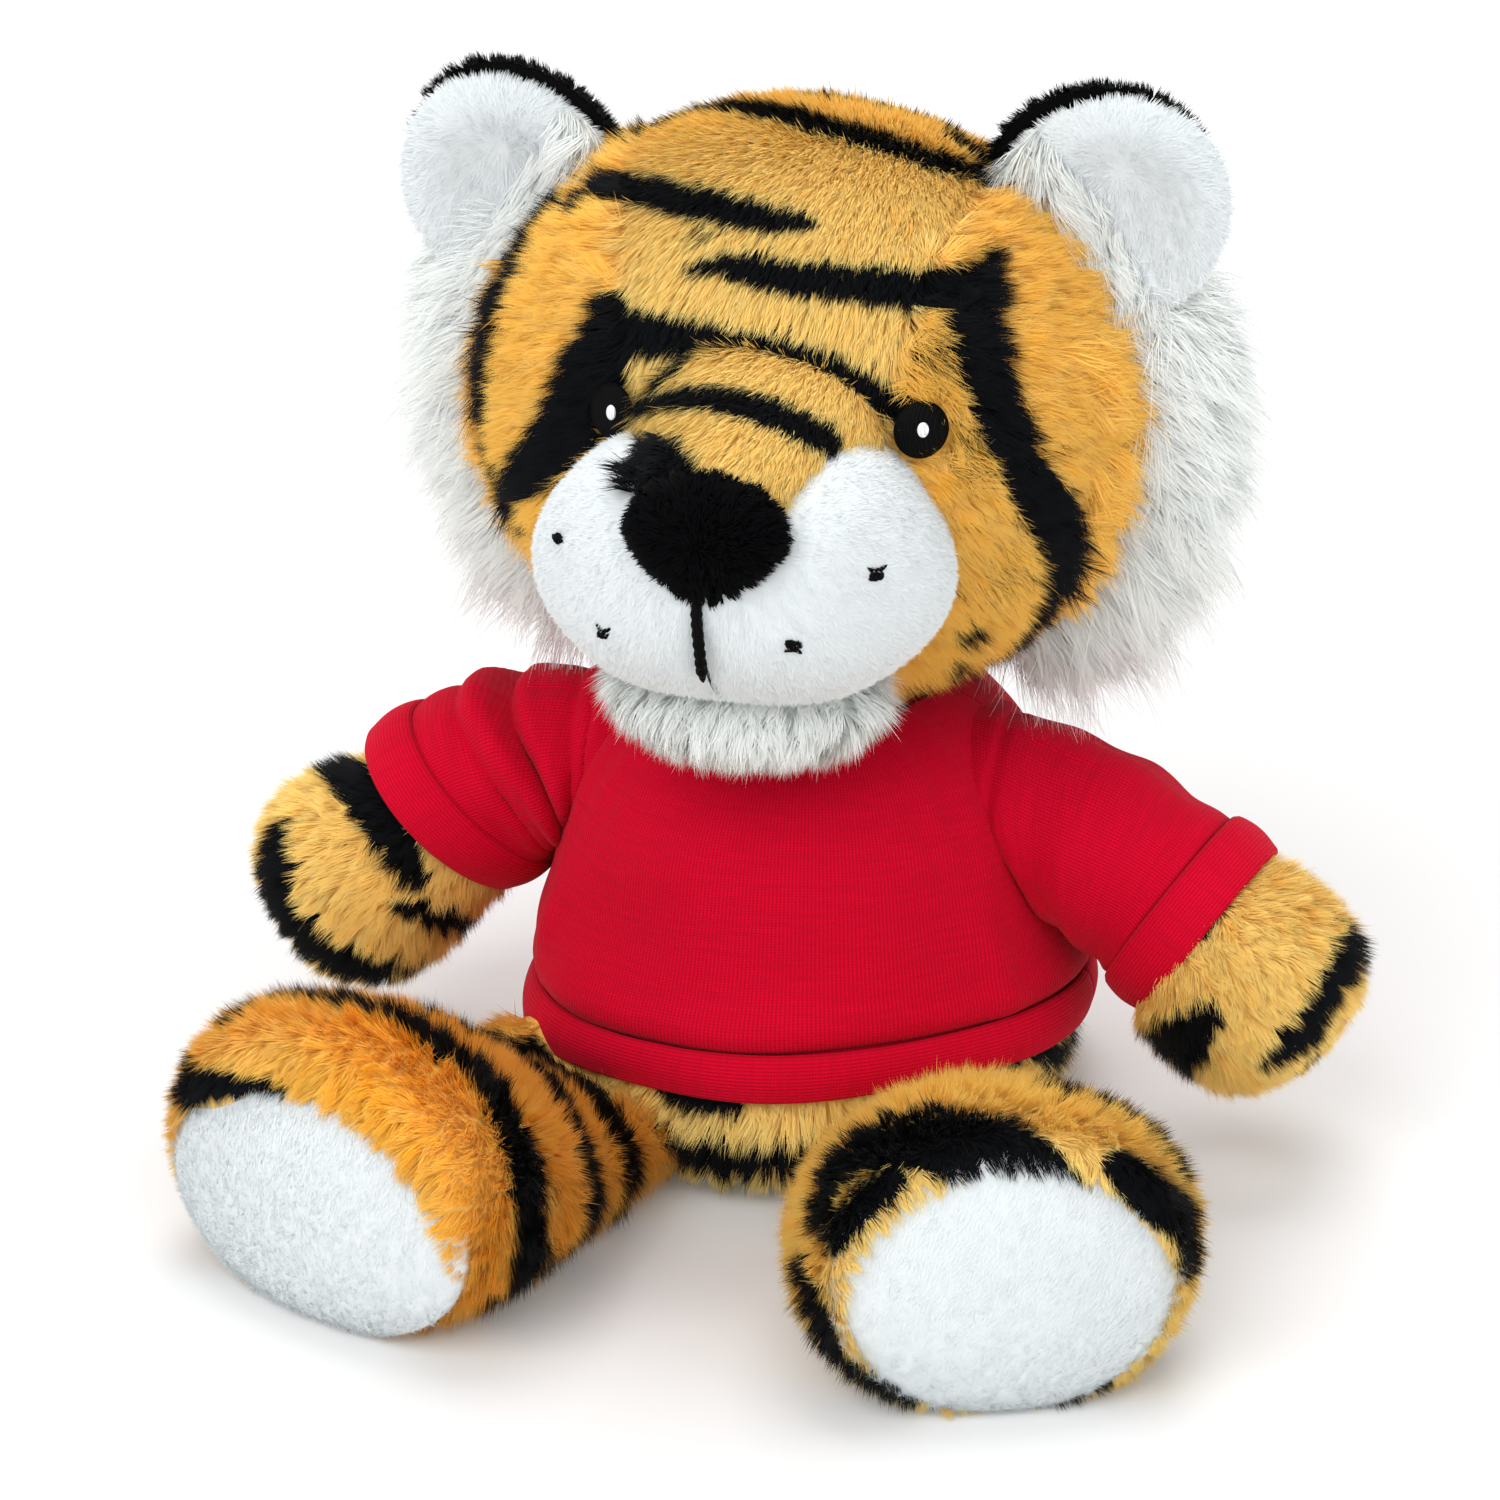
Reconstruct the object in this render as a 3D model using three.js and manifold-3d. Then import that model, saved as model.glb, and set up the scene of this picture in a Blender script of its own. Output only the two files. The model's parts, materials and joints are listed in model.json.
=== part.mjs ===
// Plush tiger sitting in a T-shirt, as separate sewn and stuffed pieces. Millimetres, +Z up.
// It faces -Y, its own left side is +X, and the origin is the middle of the flat it sits on.
import * as THREE from 'three';
import { mergeVertices } from 'three/addons/utils/BufferGeometryUtils.js';
import Module from 'manifold-3d';

const wasm = await Module();
wasm.setup();
const degree = Math.PI / 180;

// Clearances and fabric thicknesses
const seam_gap = 0.3;
const socket_gap = 0.8;
const sweep_gap = 1.6;
const plush_thickness = 3;
const jersey_thickness = 1;
const jersey_ease = 0.8;
const rest_flat_depth = 0.5;
const overrun = 120;

// Facets of the outer forms, of what is hidden in them, and of small trim
const body_sides = 18;
const body_steps = 12;
const limb_sides = 14;
const limb_steps = 9;
const hidden_sides = 10;
const hidden_steps = 7;
const ball_sides = 14;
const ball_rings = 10;
const root_sides = 12;
const root_rings = 8;
const trim_sides = 8;
const trim_rings = 5;

// Body: a pear that is widest at the hips
const body_height = 81;
const hip_half_width = 47;
const body_depth_share = 1.02;
const body_profile_shares = [
  [0, 0], [0.6, 0.004], [0.91, 0.06], [1, 0.18], [1, 0.3], [0.95, 0.47],
  [0.91, 0.62], [0.83, 0.78], [0.66, 0.91], [0.38, 0.98], [0, 1],
];
const pellet_bag_height = 15;

// Neck: its centre lies a little below the top of the body
const neck_radius = 18;
const neck_sink = 2;
const opening_share = 0.86;

// T-shirt
const hem_height = 20;
const hem_rise_share = 0.13;
const hem_band_height = 7.6;
const hem_band_thickness = 1.8;
const neck_band_height = 5;
const neck_band_radius = 24;
const neck_band_thickness = 2.2;
const neck_band_sink = 2;

// Arms: they hang out and a little forward from the shoulders
const shoulder_half_span = 37;
const shoulder_drop = 17.5;
const arm_ball_radius = 16.5;
const arm_reach = 74;
const paw_radius = 19;
const arm_forward_share = 0.2;
const arm_drop_share = 0.65;
const arm_profile_shares = [
  [0, -0.2], [0.5, -0.17], [0.82, 0], [0.83, 0.25], [0.88, 0.45], [1, 0.68], [0.93, 0.85], [0.6, 0.96],
  [0, 1],
];
const sleeve_start = 0;
const cuff_distance = 40;
const cuff_length = 9;
const cuff_thickness = 1.8;
const sleeve_ease = 2;
const arm_lift_max = 25;
const arm_lift_min = -12;

// Legs: they lie splayed on the floor with the soles to the front
const hip_half_span = 25.5;
const hip_forward = 24;
const leg_ball_radius = 15;
const leg_reach = 89;
const foot_radius = 25.5;
const leg_splay = 23;
const leg_width_share = 1.28;
const leg_profile_shares = [
  [0, -0.14], [0.4, -0.11], [0.56, 0.02], [0.66, 0.28], [0.78, 0.5], [0.95, 0.7], [1, 0.85], [0.94, 0.97],
  [0.72, 1], [0, 1],
];
const sole_thickness = 2.5;
const sole_share = 0.86;
const leg_lift_max = 20;
const leg_lift_min = -12;

// Tail
const tail_radius = 7;
const tail_reach_back = 34;
const tail_reach_side = 48;
const tail_root_height = 15;
const tail_root_depth = 46;
const tail_lift = 1.2;
const tail_route_shares = [[0.05, 0.55, 1], [0.35, 0.95, 0.4], [1, 1, 0]];
const tail_swing = 25;

// Head
const head_rise = 54;
const head_half_width = 55.5;
const head_half_depth = 45;
const head_half_height = 50;

// Muzzle, bridge, nose and chin, placed from the head's centre
const muzzle_half_width = 36;
const muzzle_half_depth = 27;
const muzzle_half_height = 22;
const muzzle_forward = 47;
const muzzle_drop = 14;
const bridge_half_width = 16;
const bridge_half_depth = 32;
const bridge_half_height = 14.5;
const bridge_forward = 40;
const bridge_rise = 3;
const nose_half_width = 13.5;
const nose_half_depth = 7;
const nose_half_height = 10.5;
const nose_forward = 70;
const nose_rise = 0.5;
const chin_half_width = 23;
const chin_half_depth = 15;
const chin_half_height = 10;
const chin_forward = 47;
const chin_drop = 36;

// Embroidery
const stitch_radius = 0.7;
const mouth_length = 14;
const mouth_spans = 3;
const whisker_radius = 1.7;
const whisker_spread_upper = 26;
const whisker_rise_upper = -8;
const whisker_spread_lower = 15;
const whisker_rise_lower = -20;
const eye_half_width = 4.6;
const eye_half_height = 5;
const eye_half_depth = 3;
const eye_spread = 26.5;
const eye_rise = 9;
const glint_half_width = 1;
const glint_half_height = 1.4;

// Ears
const ear_half_width = 19;
const ear_half_height = 20.5;
const ear_half_thickness = 5.5;
const ear_distance = 63;
const ear_left_angle = 36;
const ear_right_angle = 31;
const ear_back_set = 3;
const ear_dish_share = 0.68;
const ear_dish_depth = 3.2;

// Ruffs of long pile at the sides of the head
const ruff_half_length = 37;
const ruff_half_reach = 21;
const ruff_half_thickness = 12;
const ruff_distance = 51;
const ruff_angle = -16;
const ruff_back_set = 9;

// Finishes
const finishes = {
  tiger_fur: new THREE.MeshStandardMaterial({ color: 0xe0a14b, roughness: 0.95, metalness: 0 }),
  white_plush: new THREE.MeshStandardMaterial({ color: 0xf1f3f3, roughness: 0.95, metalness: 0 }),
  long_pile: new THREE.MeshStandardMaterial({ color: 0xe6ebe8, roughness: 0.95, metalness: 0 }),
  black_plush: new THREE.MeshStandardMaterial({ color: 0x14171c, roughness: 0.9, metalness: 0 }),
  red_jersey: new THREE.MeshStandardMaterial({ color: 0xcf0a2c, roughness: 0.9, metalness: 0 }),
  black_thread: new THREE.MeshStandardMaterial({ color: 0x0e0e10, roughness: 0.6, metalness: 0 }),
  white_thread: new THREE.MeshStandardMaterial({ color: 0xe8e6ea, roughness: 0.6, metalness: 0 }),
  fibre_fill: new THREE.MeshStandardMaterial({ color: 0xf6f6f2, roughness: 1, metalness: 0 }),
  pellet_cloth: new THREE.MeshStandardMaterial({ color: 0xd9d6cc, roughness: 0.9, metalness: 0 }),
};

// Triangles of a closed shape with shared corners, as a solid that can be cut
function to_solid(shape) {
  const bare = new THREE.BufferGeometry();
  bare.setAttribute('position', shape.getAttribute('position').clone());
  bare.setIndex(shape.index ? Array.from(shape.index.array) : null);
  const merged = mergeVertices(bare);
  const corners = merged.index.array;
  const kept = [];
  for (let i = 0; i < corners.length; i += 3) {
    const [a, b, c] = [corners[i], corners[i + 1], corners[i + 2]];
    if (a !== b && b !== c && c !== a) {
      kept.push(a, b, c);
    }
  }
  const places = merged.getAttribute('position');
  const [p, q, r] = [new THREE.Vector3(), new THREE.Vector3(), new THREE.Vector3()];
  let volume = 0;
  for (let i = 0; i < kept.length; i += 3) {
    p.fromBufferAttribute(places, kept[i]);
    q.fromBufferAttribute(places, kept[i + 1]);
    r.fromBufferAttribute(places, kept[i + 2]);
    volume += p.dot(q.cross(r));
  }
  if (volume < 0) {
    kept.reverse();
  }
  return new wasm.Manifold(new wasm.Mesh({
    numProp: 3,
    vertProperties: Float32Array.from(places.array),
    triVerts: Uint32Array.from(kept),
  }));
}

function to_shape(made) {
  const mesh = made.getMesh();
  const shape = new THREE.BufferGeometry();
  shape.setAttribute('position', new THREE.BufferAttribute(mesh.vertProperties.slice(), mesh.numProp));
  shape.setIndex(Array.from(mesh.triVerts));
  return shape;
}

const join = (...shapes) => to_shape(shapes.map(to_solid).reduce((a, b) => a.add(b)));
const cut = (shape, ...tools) => (
  to_shape(tools.map(to_solid).reduce((a, b) => a.subtract(b), to_solid(shape)))
);
const common = (...shapes) => to_shape(shapes.map(to_solid).reduce((a, b) => a.intersect(b)));

function ball(radius, centre, sides = root_sides, rings = root_rings) {
  return new THREE.SphereGeometry(radius, sides, rings).translate(centre.x, centre.y, centre.z);
}

function oval(half_x, half_y, half_z, centre, sides, rings) {
  const shape = new THREE.SphereGeometry(1, sides, rings).scale(half_x, half_y, half_z);
  return shape.translate(centre.x, centre.y, centre.z);
}

// A round form about Z through [radius, height] pairs, with its skin moved out by grow
function swelling_form(pairs, grow, sides, steps) {
  const outline = new THREE.SplineCurve(pairs.map(([radius, height]) => new THREE.Vector2(radius, height)));
  const points = [];
  for (let i = 0; i <= steps; i += 1) {
    const along = outline.getTangent(i / steps);
    const point = outline.getPoint(i / steps);
    point.add(new THREE.Vector2(along.y, -along.x).multiplyScalar(grow));
    point.x = i === 0 || i === steps ? 0 : Math.max(point.x, 0);
    points.push(point);
  }
  return new THREE.LatheGeometry(points, sides).rotateX(Math.PI / 2);
}

// A block between two heights, for trimming
function slab(low, high) {
  const reach = 2 * overrun;
  return new THREE.BoxGeometry(reach, reach, high - low).translate(0, 0, (low + high) / 2);
}

function turned(shape, pivot, axis, angle) {
  const turn = new THREE.Matrix4().makeTranslation(pivot)
    .multiply(new THREE.Matrix4().makeRotationAxis(axis, angle * degree))
    .multiply(new THREE.Matrix4().makeTranslation(pivot.clone().negate()));
  return shape.clone().applyMatrix4(turn);
}

const mirrored = (shape) => to_shape(to_solid(shape.clone().scale(-1, 1, 1)));
const floor_cutter = slab(-overrun, 0);

const tiger = new THREE.Group();
tiger.name = 'plush_tiger';

function place(name, shape, finish) {
  const mesh = new THREE.Mesh(shape, finishes[finish]);
  mesh.name = name;
  tiger.add(mesh);
}

// The same piece on the left side as modelled and on the right side mirrored
function place_pair(stem, ending, shape, finish) {
  place(`${stem}_left${ending}`, shape, finish);
  place(`${stem}_right${ending}`, mirrored(shape), finish);
}

// Pivots, and the balls of stuffing that turn in them
const shoulder = new THREE.Vector3(shoulder_half_span, 0, body_height - shoulder_drop);
const hip = new THREE.Vector3(hip_half_span, -hip_forward, leg_ball_radius - rest_flat_depth);
const tail_root = new THREE.Vector3(0, tail_root_depth, tail_root_height);
const neck = new THREE.Vector3(0, 0, body_height - neck_sink);
const head = new THREE.Vector3(0, 0, neck.z + head_rise);
const tail_ball_radius = tail_radius + seam_gap;
const both = (shape) => [shape, shape.clone().scale(-1, 1, 1)];
const sockets = [
  ...both(ball(arm_ball_radius + socket_gap, shoulder)),
  ...both(ball(leg_ball_radius + socket_gap, hip)),
  ball(tail_ball_radius + socket_gap, tail_root),
  ball(neck_radius + socket_gap, neck, ball_sides, ball_rings),
];

// Body

function body_form(grow, sides = body_sides, steps = body_steps) {
  const pairs = body_profile_shares.map(([radius, height]) => [
    radius * hip_half_width,
    height * body_height - rest_flat_depth,
  ]);
  return swelling_form(pairs, grow, sides, steps).scale(1, body_depth_share, 1);
}

const body_inside = body_form(-plush_thickness, hidden_sides, hidden_steps);
const body_fill = body_form(-plush_thickness - seam_gap, hidden_sides, hidden_steps);
place('body_cover', cut(body_form(0), body_inside, ...sockets, floor_cutter), 'tiger_fur');
place('body_stuffing', cut(body_fill, ...sockets, slab(-overrun, pellet_bag_height)), 'fibre_fill');
place(
  'pellet_bag',
  cut(body_fill, ...sockets, slab(pellet_bag_height - seam_gap, pellet_bag_height + body_height)),
  'pellet_cloth',
);
place('neck_stuffing', ball(neck_radius, neck, ball_sides, ball_rings), 'fibre_fill');

// T-shirt

// All above a plane that rises towards the front, at a height over the hem's edge
function above_hem(height) {
  const tilt = Math.atan(hem_rise_share);
  const shape = slab(0, body_height + overrun).rotateX(-tilt);
  return shape.translate(0, 0, hem_height + height);
}

const shirt_inner = jersey_ease;
const shirt_outer = jersey_ease + jersey_thickness;
const band_outer = jersey_ease + hem_band_thickness;
const collar_hole = new THREE.CylinderGeometry(neck_band_radius, neck_band_radius, overrun, body_sides)
  .rotateX(Math.PI / 2).translate(0, 0, body_height);
const shirt_shell = common(
  cut(body_form(shirt_outer), body_form(shirt_inner), collar_hole, ...sockets),
  above_hem(hem_band_height + seam_gap),
);
const behind = new THREE.BoxGeometry(overrun, overrun, 2 * overrun);
place('shirt_front', cut(shirt_shell, behind.clone().translate(0, overrun / 2 - seam_gap, 0)), 'red_jersey');
place('shirt_back', cut(shirt_shell, behind.clone().translate(0, -overrun / 2, 0)), 'red_jersey');
const hem_band = cut(
  common(body_form(band_outer), above_hem(0)),
  body_form(shirt_inner),
  above_hem(hem_band_height),
  ...sockets,
);
place('shirt_hem_band', hem_band, 'red_jersey');
const band_ring = (radius, height) => new THREE.CylinderGeometry(radius, radius, height, body_sides)
  .rotateX(Math.PI / 2).translate(0, 0, body_height - neck_band_sink - neck_band_height / 2);
place(
  'shirt_neck_band',
  cut(
    band_ring(neck_band_radius - seam_gap, neck_band_height),
    band_ring(neck_band_radius - neck_band_thickness, 2 * neck_band_height),
    body_form(seam_gap),
  ),
  'red_jersey',
);

// Arms with their sleeves

const arm_direction = new THREE.Vector3(1, -arm_forward_share, -arm_drop_share).normalize();
const arm_turn = new THREE.Quaternion().setFromUnitVectors(new THREE.Vector3(0, 0, 1), arm_direction);
const arm_placement = new THREE.Matrix4().makeRotationFromQuaternion(arm_turn).setPosition(shoulder);
const arm_pairs = arm_profile_shares.map(([radius, height]) => [radius * paw_radius, height * arm_reach]);

function arm_form(grow, sides = limb_sides, steps = limb_steps) {
  return swelling_form(arm_pairs, grow, sides, steps);
}

const dressed_body = body_form(band_outer + sweep_gap, body_sides, hidden_steps);

// What a limb must stay clear of while it turns about its ball
function swept_body(pivot, axis, lowest, highest, ball_radius) {
  const copies = [lowest, 0, highest].map((angle) => turned(dressed_body, pivot, axis, -angle));
  return cut(join(...copies), ball(ball_radius, pivot));
}

// A cover with its stuffing: forms with their root balls, open at the root
function add_stuffed(stem, form_of, ball_radius, pivot, opening, tools) {
  const outside = join(form_of(0, limb_sides, limb_steps), ball(ball_radius, pivot));
  const inside = form_of(-plush_thickness, hidden_sides, hidden_steps);
  const fill = form_of(-plush_thickness - seam_gap, hidden_sides, hidden_steps);
  place_pair(stem, '_cover', cut(outside, inside, opening, ...tools), 'tiger_fur');
  place_pair(stem, '_stuffing', cut(fill, ...tools), 'fibre_fill');
}

const arm_axis = new THREE.Vector3(0, -1, 0);
const around_arm = swept_body(shoulder, arm_axis, arm_lift_min, arm_lift_max, arm_ball_radius);
const arm_opening = new THREE.CylinderGeometry(
  arm_ball_radius * opening_share, arm_ball_radius * opening_share, arm_ball_radius, limb_sides,
).rotateX(Math.PI / 2).translate(0, 0, -arm_ball_radius);

add_stuffed(
  'arm', (grow, sides, steps) => arm_form(grow, sides, steps).applyMatrix4(arm_placement),
  arm_ball_radius, shoulder, arm_opening.applyMatrix4(arm_placement), [around_arm],
);

function sleeve_tube(start, end, thickness) {
  const tube = cut(arm_form(sleeve_ease + thickness), arm_form(sleeve_ease));
  return common(tube, slab(start, end)).applyMatrix4(arm_placement);
}

const arm_hollow = ball(arm_ball_radius + seam_gap, shoulder);
const cuff_start = cuff_distance - cuff_length;
place_pair(
  'sleeve', '',
  cut(sleeve_tube(sleeve_start, cuff_start - seam_gap, jersey_thickness), around_arm, arm_hollow),
  'red_jersey',
);
const cuff = cut(sleeve_tube(cuff_start, cuff_distance, cuff_thickness), around_arm);
place_pair('sleeve', '_cuff', cuff, 'red_jersey');

// Legs with their soles

const foot_height = foot_radius - rest_flat_depth;
const leg_rise = Math.asin((foot_height - hip.z) / leg_reach);
const leg_direction = new THREE.Vector3(
  Math.sin(leg_splay * degree) * Math.cos(leg_rise),
  -Math.cos(leg_splay * degree) * Math.cos(leg_rise),
  Math.sin(leg_rise),
);
const leg_placement = new THREE.Matrix4()
  .lookAt(leg_direction, new THREE.Vector3(), new THREE.Vector3(0, 0, 1))
  .setPosition(hip);
const leg_pairs = leg_profile_shares.map(([radius, height]) => [radius * foot_radius, height * leg_reach]);
const leg_axis = new THREE.Vector3(leg_direction.y, -leg_direction.x, 0).normalize();
const around_leg = swept_body(hip, leg_axis, leg_lift_min, leg_lift_max, leg_ball_radius);

function leg_form(grow, sides, steps) {
  const leg = swelling_form(leg_pairs, grow, sides, steps).scale(leg_width_share, 1, 1);
  return leg.applyMatrix4(leg_placement);
}

const leg_opening = new THREE.CylinderGeometry(
  leg_ball_radius * opening_share, leg_ball_radius * opening_share, leg_ball_radius, limb_sides,
).rotateX(Math.PI / 2).translate(0, 0, -leg_ball_radius);
add_stuffed(
  'leg', leg_form, leg_ball_radius, hip, leg_opening.applyMatrix4(leg_placement), [around_leg, floor_cutter],
);
const sole_radius = foot_radius * sole_share;
const sole = new THREE.CylinderGeometry(sole_radius, sole_radius, sole_thickness, limb_sides)
  .rotateX(Math.PI / 2)
  .scale(leg_width_share, 1, 1)
  .translate(0, 0, leg_reach + sole_thickness / 2 + seam_gap);
place_pair('sole', '', sole.applyMatrix4(leg_placement), 'white_plush');

// Tail

const tail_rest = tail_radius + tail_lift;
const tail_path = new THREE.CatmullRomCurve3([tail_root].concat(tail_route_shares.map(([side, back, up]) => (
  new THREE.Vector3(
    -side * tail_reach_side,
    tail_root.y + back * tail_reach_back,
    tail_rest + up * (tail_root.z - tail_rest) / 2,
  )
))));

const tail_section = new THREE.Shape().absarc(0, 0, tail_radius, 0, 2 * Math.PI);
const tail_tube = new THREE.ExtrudeGeometry(tail_section, {
  curveSegments: trim_sides / 2,
  steps: hidden_steps,
  bevelEnabled: false,
  extrudePath: tail_path,
});
const tail_tip = ball(tail_radius, tail_path.getPoint(1), trim_sides, trim_rings);

const tail_axis = new THREE.Vector3(0, 0, 1);
const around_tail = swept_body(tail_root, tail_axis, -tail_swing, tail_swing, tail_ball_radius);
const tail = join(tail_tube, tail_tip, ball(tail_ball_radius, tail_root));
place('tail', cut(tail, around_tail), 'tiger_fur');

// Head

const from_head = (x, y, z) => head.clone().add(new THREE.Vector3(x, y, z));

function head_form(grow, sides = body_sides, rings = body_steps) {
  return oval(head_half_width + grow, head_half_depth + grow, head_half_height + grow, head, sides, rings);
}

const neck_socket = ball(neck_radius + socket_gap, neck, ball_sides, ball_rings);
const neck_hole = new THREE.CylinderGeometry(
  neck_radius * opening_share, neck_radius * opening_share, head_half_height, ball_sides,
).rotateX(Math.PI / 2).translate(0, 0, head.z - head_half_height);
const head_inside = head_form(-plush_thickness, hidden_sides, hidden_steps);
const head_fill = head_form(-plush_thickness - seam_gap, hidden_sides, hidden_steps);
place('head_cover', cut(head_form(0), head_inside, neck_socket, neck_hole), 'tiger_fur');
place('head_stuffing', cut(head_fill, neck_socket), 'fibre_fill');

// Face

const nose_centre = from_head(0, -nose_forward, nose_rise);
const muzzle_centre = from_head(0, -muzzle_forward, -muzzle_drop);
const nose_form = (grow) => oval(
  nose_half_width + grow, nose_half_depth + grow, nose_half_height + grow, nose_centre,
  ball_sides, ball_rings,
);
const muzzle_form = (grow) => oval(
  muzzle_half_width + grow, muzzle_half_depth + grow, muzzle_half_height + grow, muzzle_centre,
  limb_sides, limb_steps,
);
const bridge_form = (grow) => oval(
  bridge_half_width + grow, bridge_half_depth + grow, bridge_half_height + grow,
  from_head(0, -bridge_forward, bridge_rise), ball_sides, ball_rings,
);
const clear_head = head_form(seam_gap);
const clear_nose = nose_form(seam_gap);
const clear_bridge = bridge_form(seam_gap);
const clear_muzzle = muzzle_form(seam_gap);
const right_half = new THREE.BoxGeometry(overrun, overrun, overrun)
  .translate((seam_gap - overrun) / 2, -overrun / 2, head.z);
const muzzle_pad = cut(muzzle_form(0), clear_head, clear_bridge, clear_nose, right_half);
place_pair('muzzle', '', muzzle_pad, 'white_plush');
place('bridge_panel', cut(bridge_form(0), clear_head, clear_nose), 'tiger_fur');
place('nose', nose_form(0), 'black_plush');
place(
  'chin',
  cut(
    oval(
      chin_half_width, chin_half_depth, chin_half_height, from_head(0, -chin_forward, -chin_drop),
      ball_sides, ball_rings,
    ),
    clear_head, clear_muzzle,
  ),
  'long_pile',
);

// Embroidery on the face: a raised stitch keeps clear of the cloth under it

// The place on the front of the muzzle at a spread and rise from the head's centre
function on_muzzle(spread, rise) {
  const across = spread / muzzle_half_width;
  const up = (rise + muzzle_drop) / muzzle_half_height;
  const out = Math.sqrt(1 - across * across - up * up);
  return from_head(spread, -muzzle_forward - out * muzzle_half_depth, rise);
}

const mouth_top = nose_rise - nose_half_height - 2 * seam_gap;
const mouth_places = [];
for (let i = 0; i <= mouth_spans; i += 1) {
  const spot = on_muzzle(0, mouth_top - mouth_length * i / mouth_spans);
  mouth_places.push(spot.add(new THREE.Vector3(0, -stitch_radius - seam_gap, 0)));
}
const mouth_section = new THREE.Shape().absarc(0, 0, stitch_radius, 0, 2 * Math.PI);
const mouth_tube = new THREE.ExtrudeGeometry(mouth_section, {
  curveSegments: trim_rings,
  steps: trim_sides,
  bevelEnabled: false,
  extrudePath: new THREE.CatmullRomCurve3(mouth_places),
});
place('mouth_stitch', cut(mouth_tube, clear_muzzle, clear_nose), 'black_thread');

function whisker(spread, rise) {
  const knot = ball(whisker_radius, on_muzzle(spread, rise), trim_sides, trim_rings);
  return cut(knot, clear_muzzle);
}

place_pair('whisker_stitch', '_upper', whisker(whisker_spread_upper, whisker_rise_upper), 'black_thread');
place_pair('whisker_stitch', '_lower', whisker(whisker_spread_lower, whisker_rise_lower), 'black_thread');

// The place on the front of the head at a spread and rise from its centre
function on_head(spread, rise, lift) {
  const across = spread / head_half_width;
  const up = rise / head_half_height;
  const out = Math.sqrt(1 - across * across - up * up);
  return from_head(spread, -out * head_half_depth - lift, rise);
}

const eye_centre = on_head(eye_spread, eye_rise, 0);
const eye_lean = Math.atan2(eye_spread, head_half_depth);

function eye_form(grow) {
  return new THREE.SphereGeometry(1, trim_sides, trim_rings)
    .scale(eye_half_width + grow, eye_half_depth + grow, eye_half_height + grow)
    .rotateZ(eye_lean)
    .translate(eye_centre.x, eye_centre.y, eye_centre.z);
}

const outward = eye_centre.clone().sub(head).normalize();
const glint_centre = eye_centre.clone().addScaledVector(outward, eye_half_depth);
const eye = cut(eye_form(0), clear_head, clear_bridge, clear_muzzle);
place_pair('eye', '', eye, 'black_thread');
const glint = oval(
  glint_half_width, glint_half_width, glint_half_height, glint_centre, trim_sides, trim_rings,
);
place_pair('eye_glint', '', cut(glint, eye_form(seam_gap / 2)), 'white_thread');

// Ears

// One ear is sewn on a little lower than the other
const ear_of = (grow) => new THREE.SphereGeometry(1, limb_sides, trim_sides)
  .scale(ear_half_width + grow, ear_half_thickness + grow, ear_half_height + grow);
const ear_dish = new THREE.SphereGeometry(1, limb_sides, trim_sides)
  .scale(ear_half_width * ear_dish_share, ear_dish_depth, ear_half_height * ear_dish_share)
  .translate(0, -ear_half_thickness, 0);
const ear_split = new THREE.BoxGeometry(overrun, overrun, overrun);
const clear_ears = [];
for (const [side, turn, angle] of [['left', 1, ear_left_angle], ['right', -1, ear_right_angle]]) {
  const across = turn * ear_distance * Math.cos(angle * degree);
  const placement = new THREE.Matrix4()
    .makeRotationY(turn * (Math.PI / 2 - angle * degree))
    .setPosition(from_head(across, ear_back_set, ear_distance * Math.sin(angle * degree)));
  const front = cut(ear_of(0), ear_split.clone().translate(0, (overrun - seam_gap) / 2, 0), ear_dish);
  const back = cut(ear_of(0), ear_split.clone().translate(0, (seam_gap - overrun) / 2, 0));
  place(`ear_${side}_front`, cut(front.applyMatrix4(placement), clear_head), 'white_plush');
  place(`ear_${side}_back`, cut(back.applyMatrix4(placement), clear_head), 'black_plush');
  clear_ears.push(ear_of(seam_gap).applyMatrix4(placement));
}

// Ruffs

const ruff_placement = new THREE.Matrix4().makeRotationY(-ruff_angle * degree);
const ruff_form = new THREE.SphereGeometry(1, limb_sides, trim_sides)
  .scale(ruff_half_reach, ruff_half_thickness, ruff_half_length)
  .translate(ruff_distance, ruff_back_set, 0)
  .applyMatrix4(ruff_placement)
  .translate(head.x, head.y, head.z);
place('ruff_left', cut(ruff_form, clear_head, ...clear_ears), 'long_pile');
place('ruff_right', cut(mirrored(ruff_form), clear_head, ...clear_ears), 'long_pile');

export default tiger;
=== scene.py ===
import json
import math

import bpy
import numpy as np
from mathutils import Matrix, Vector
from mathutils.bvhtree import BVHTree
from mathutils.kdtree import KDTree


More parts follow.
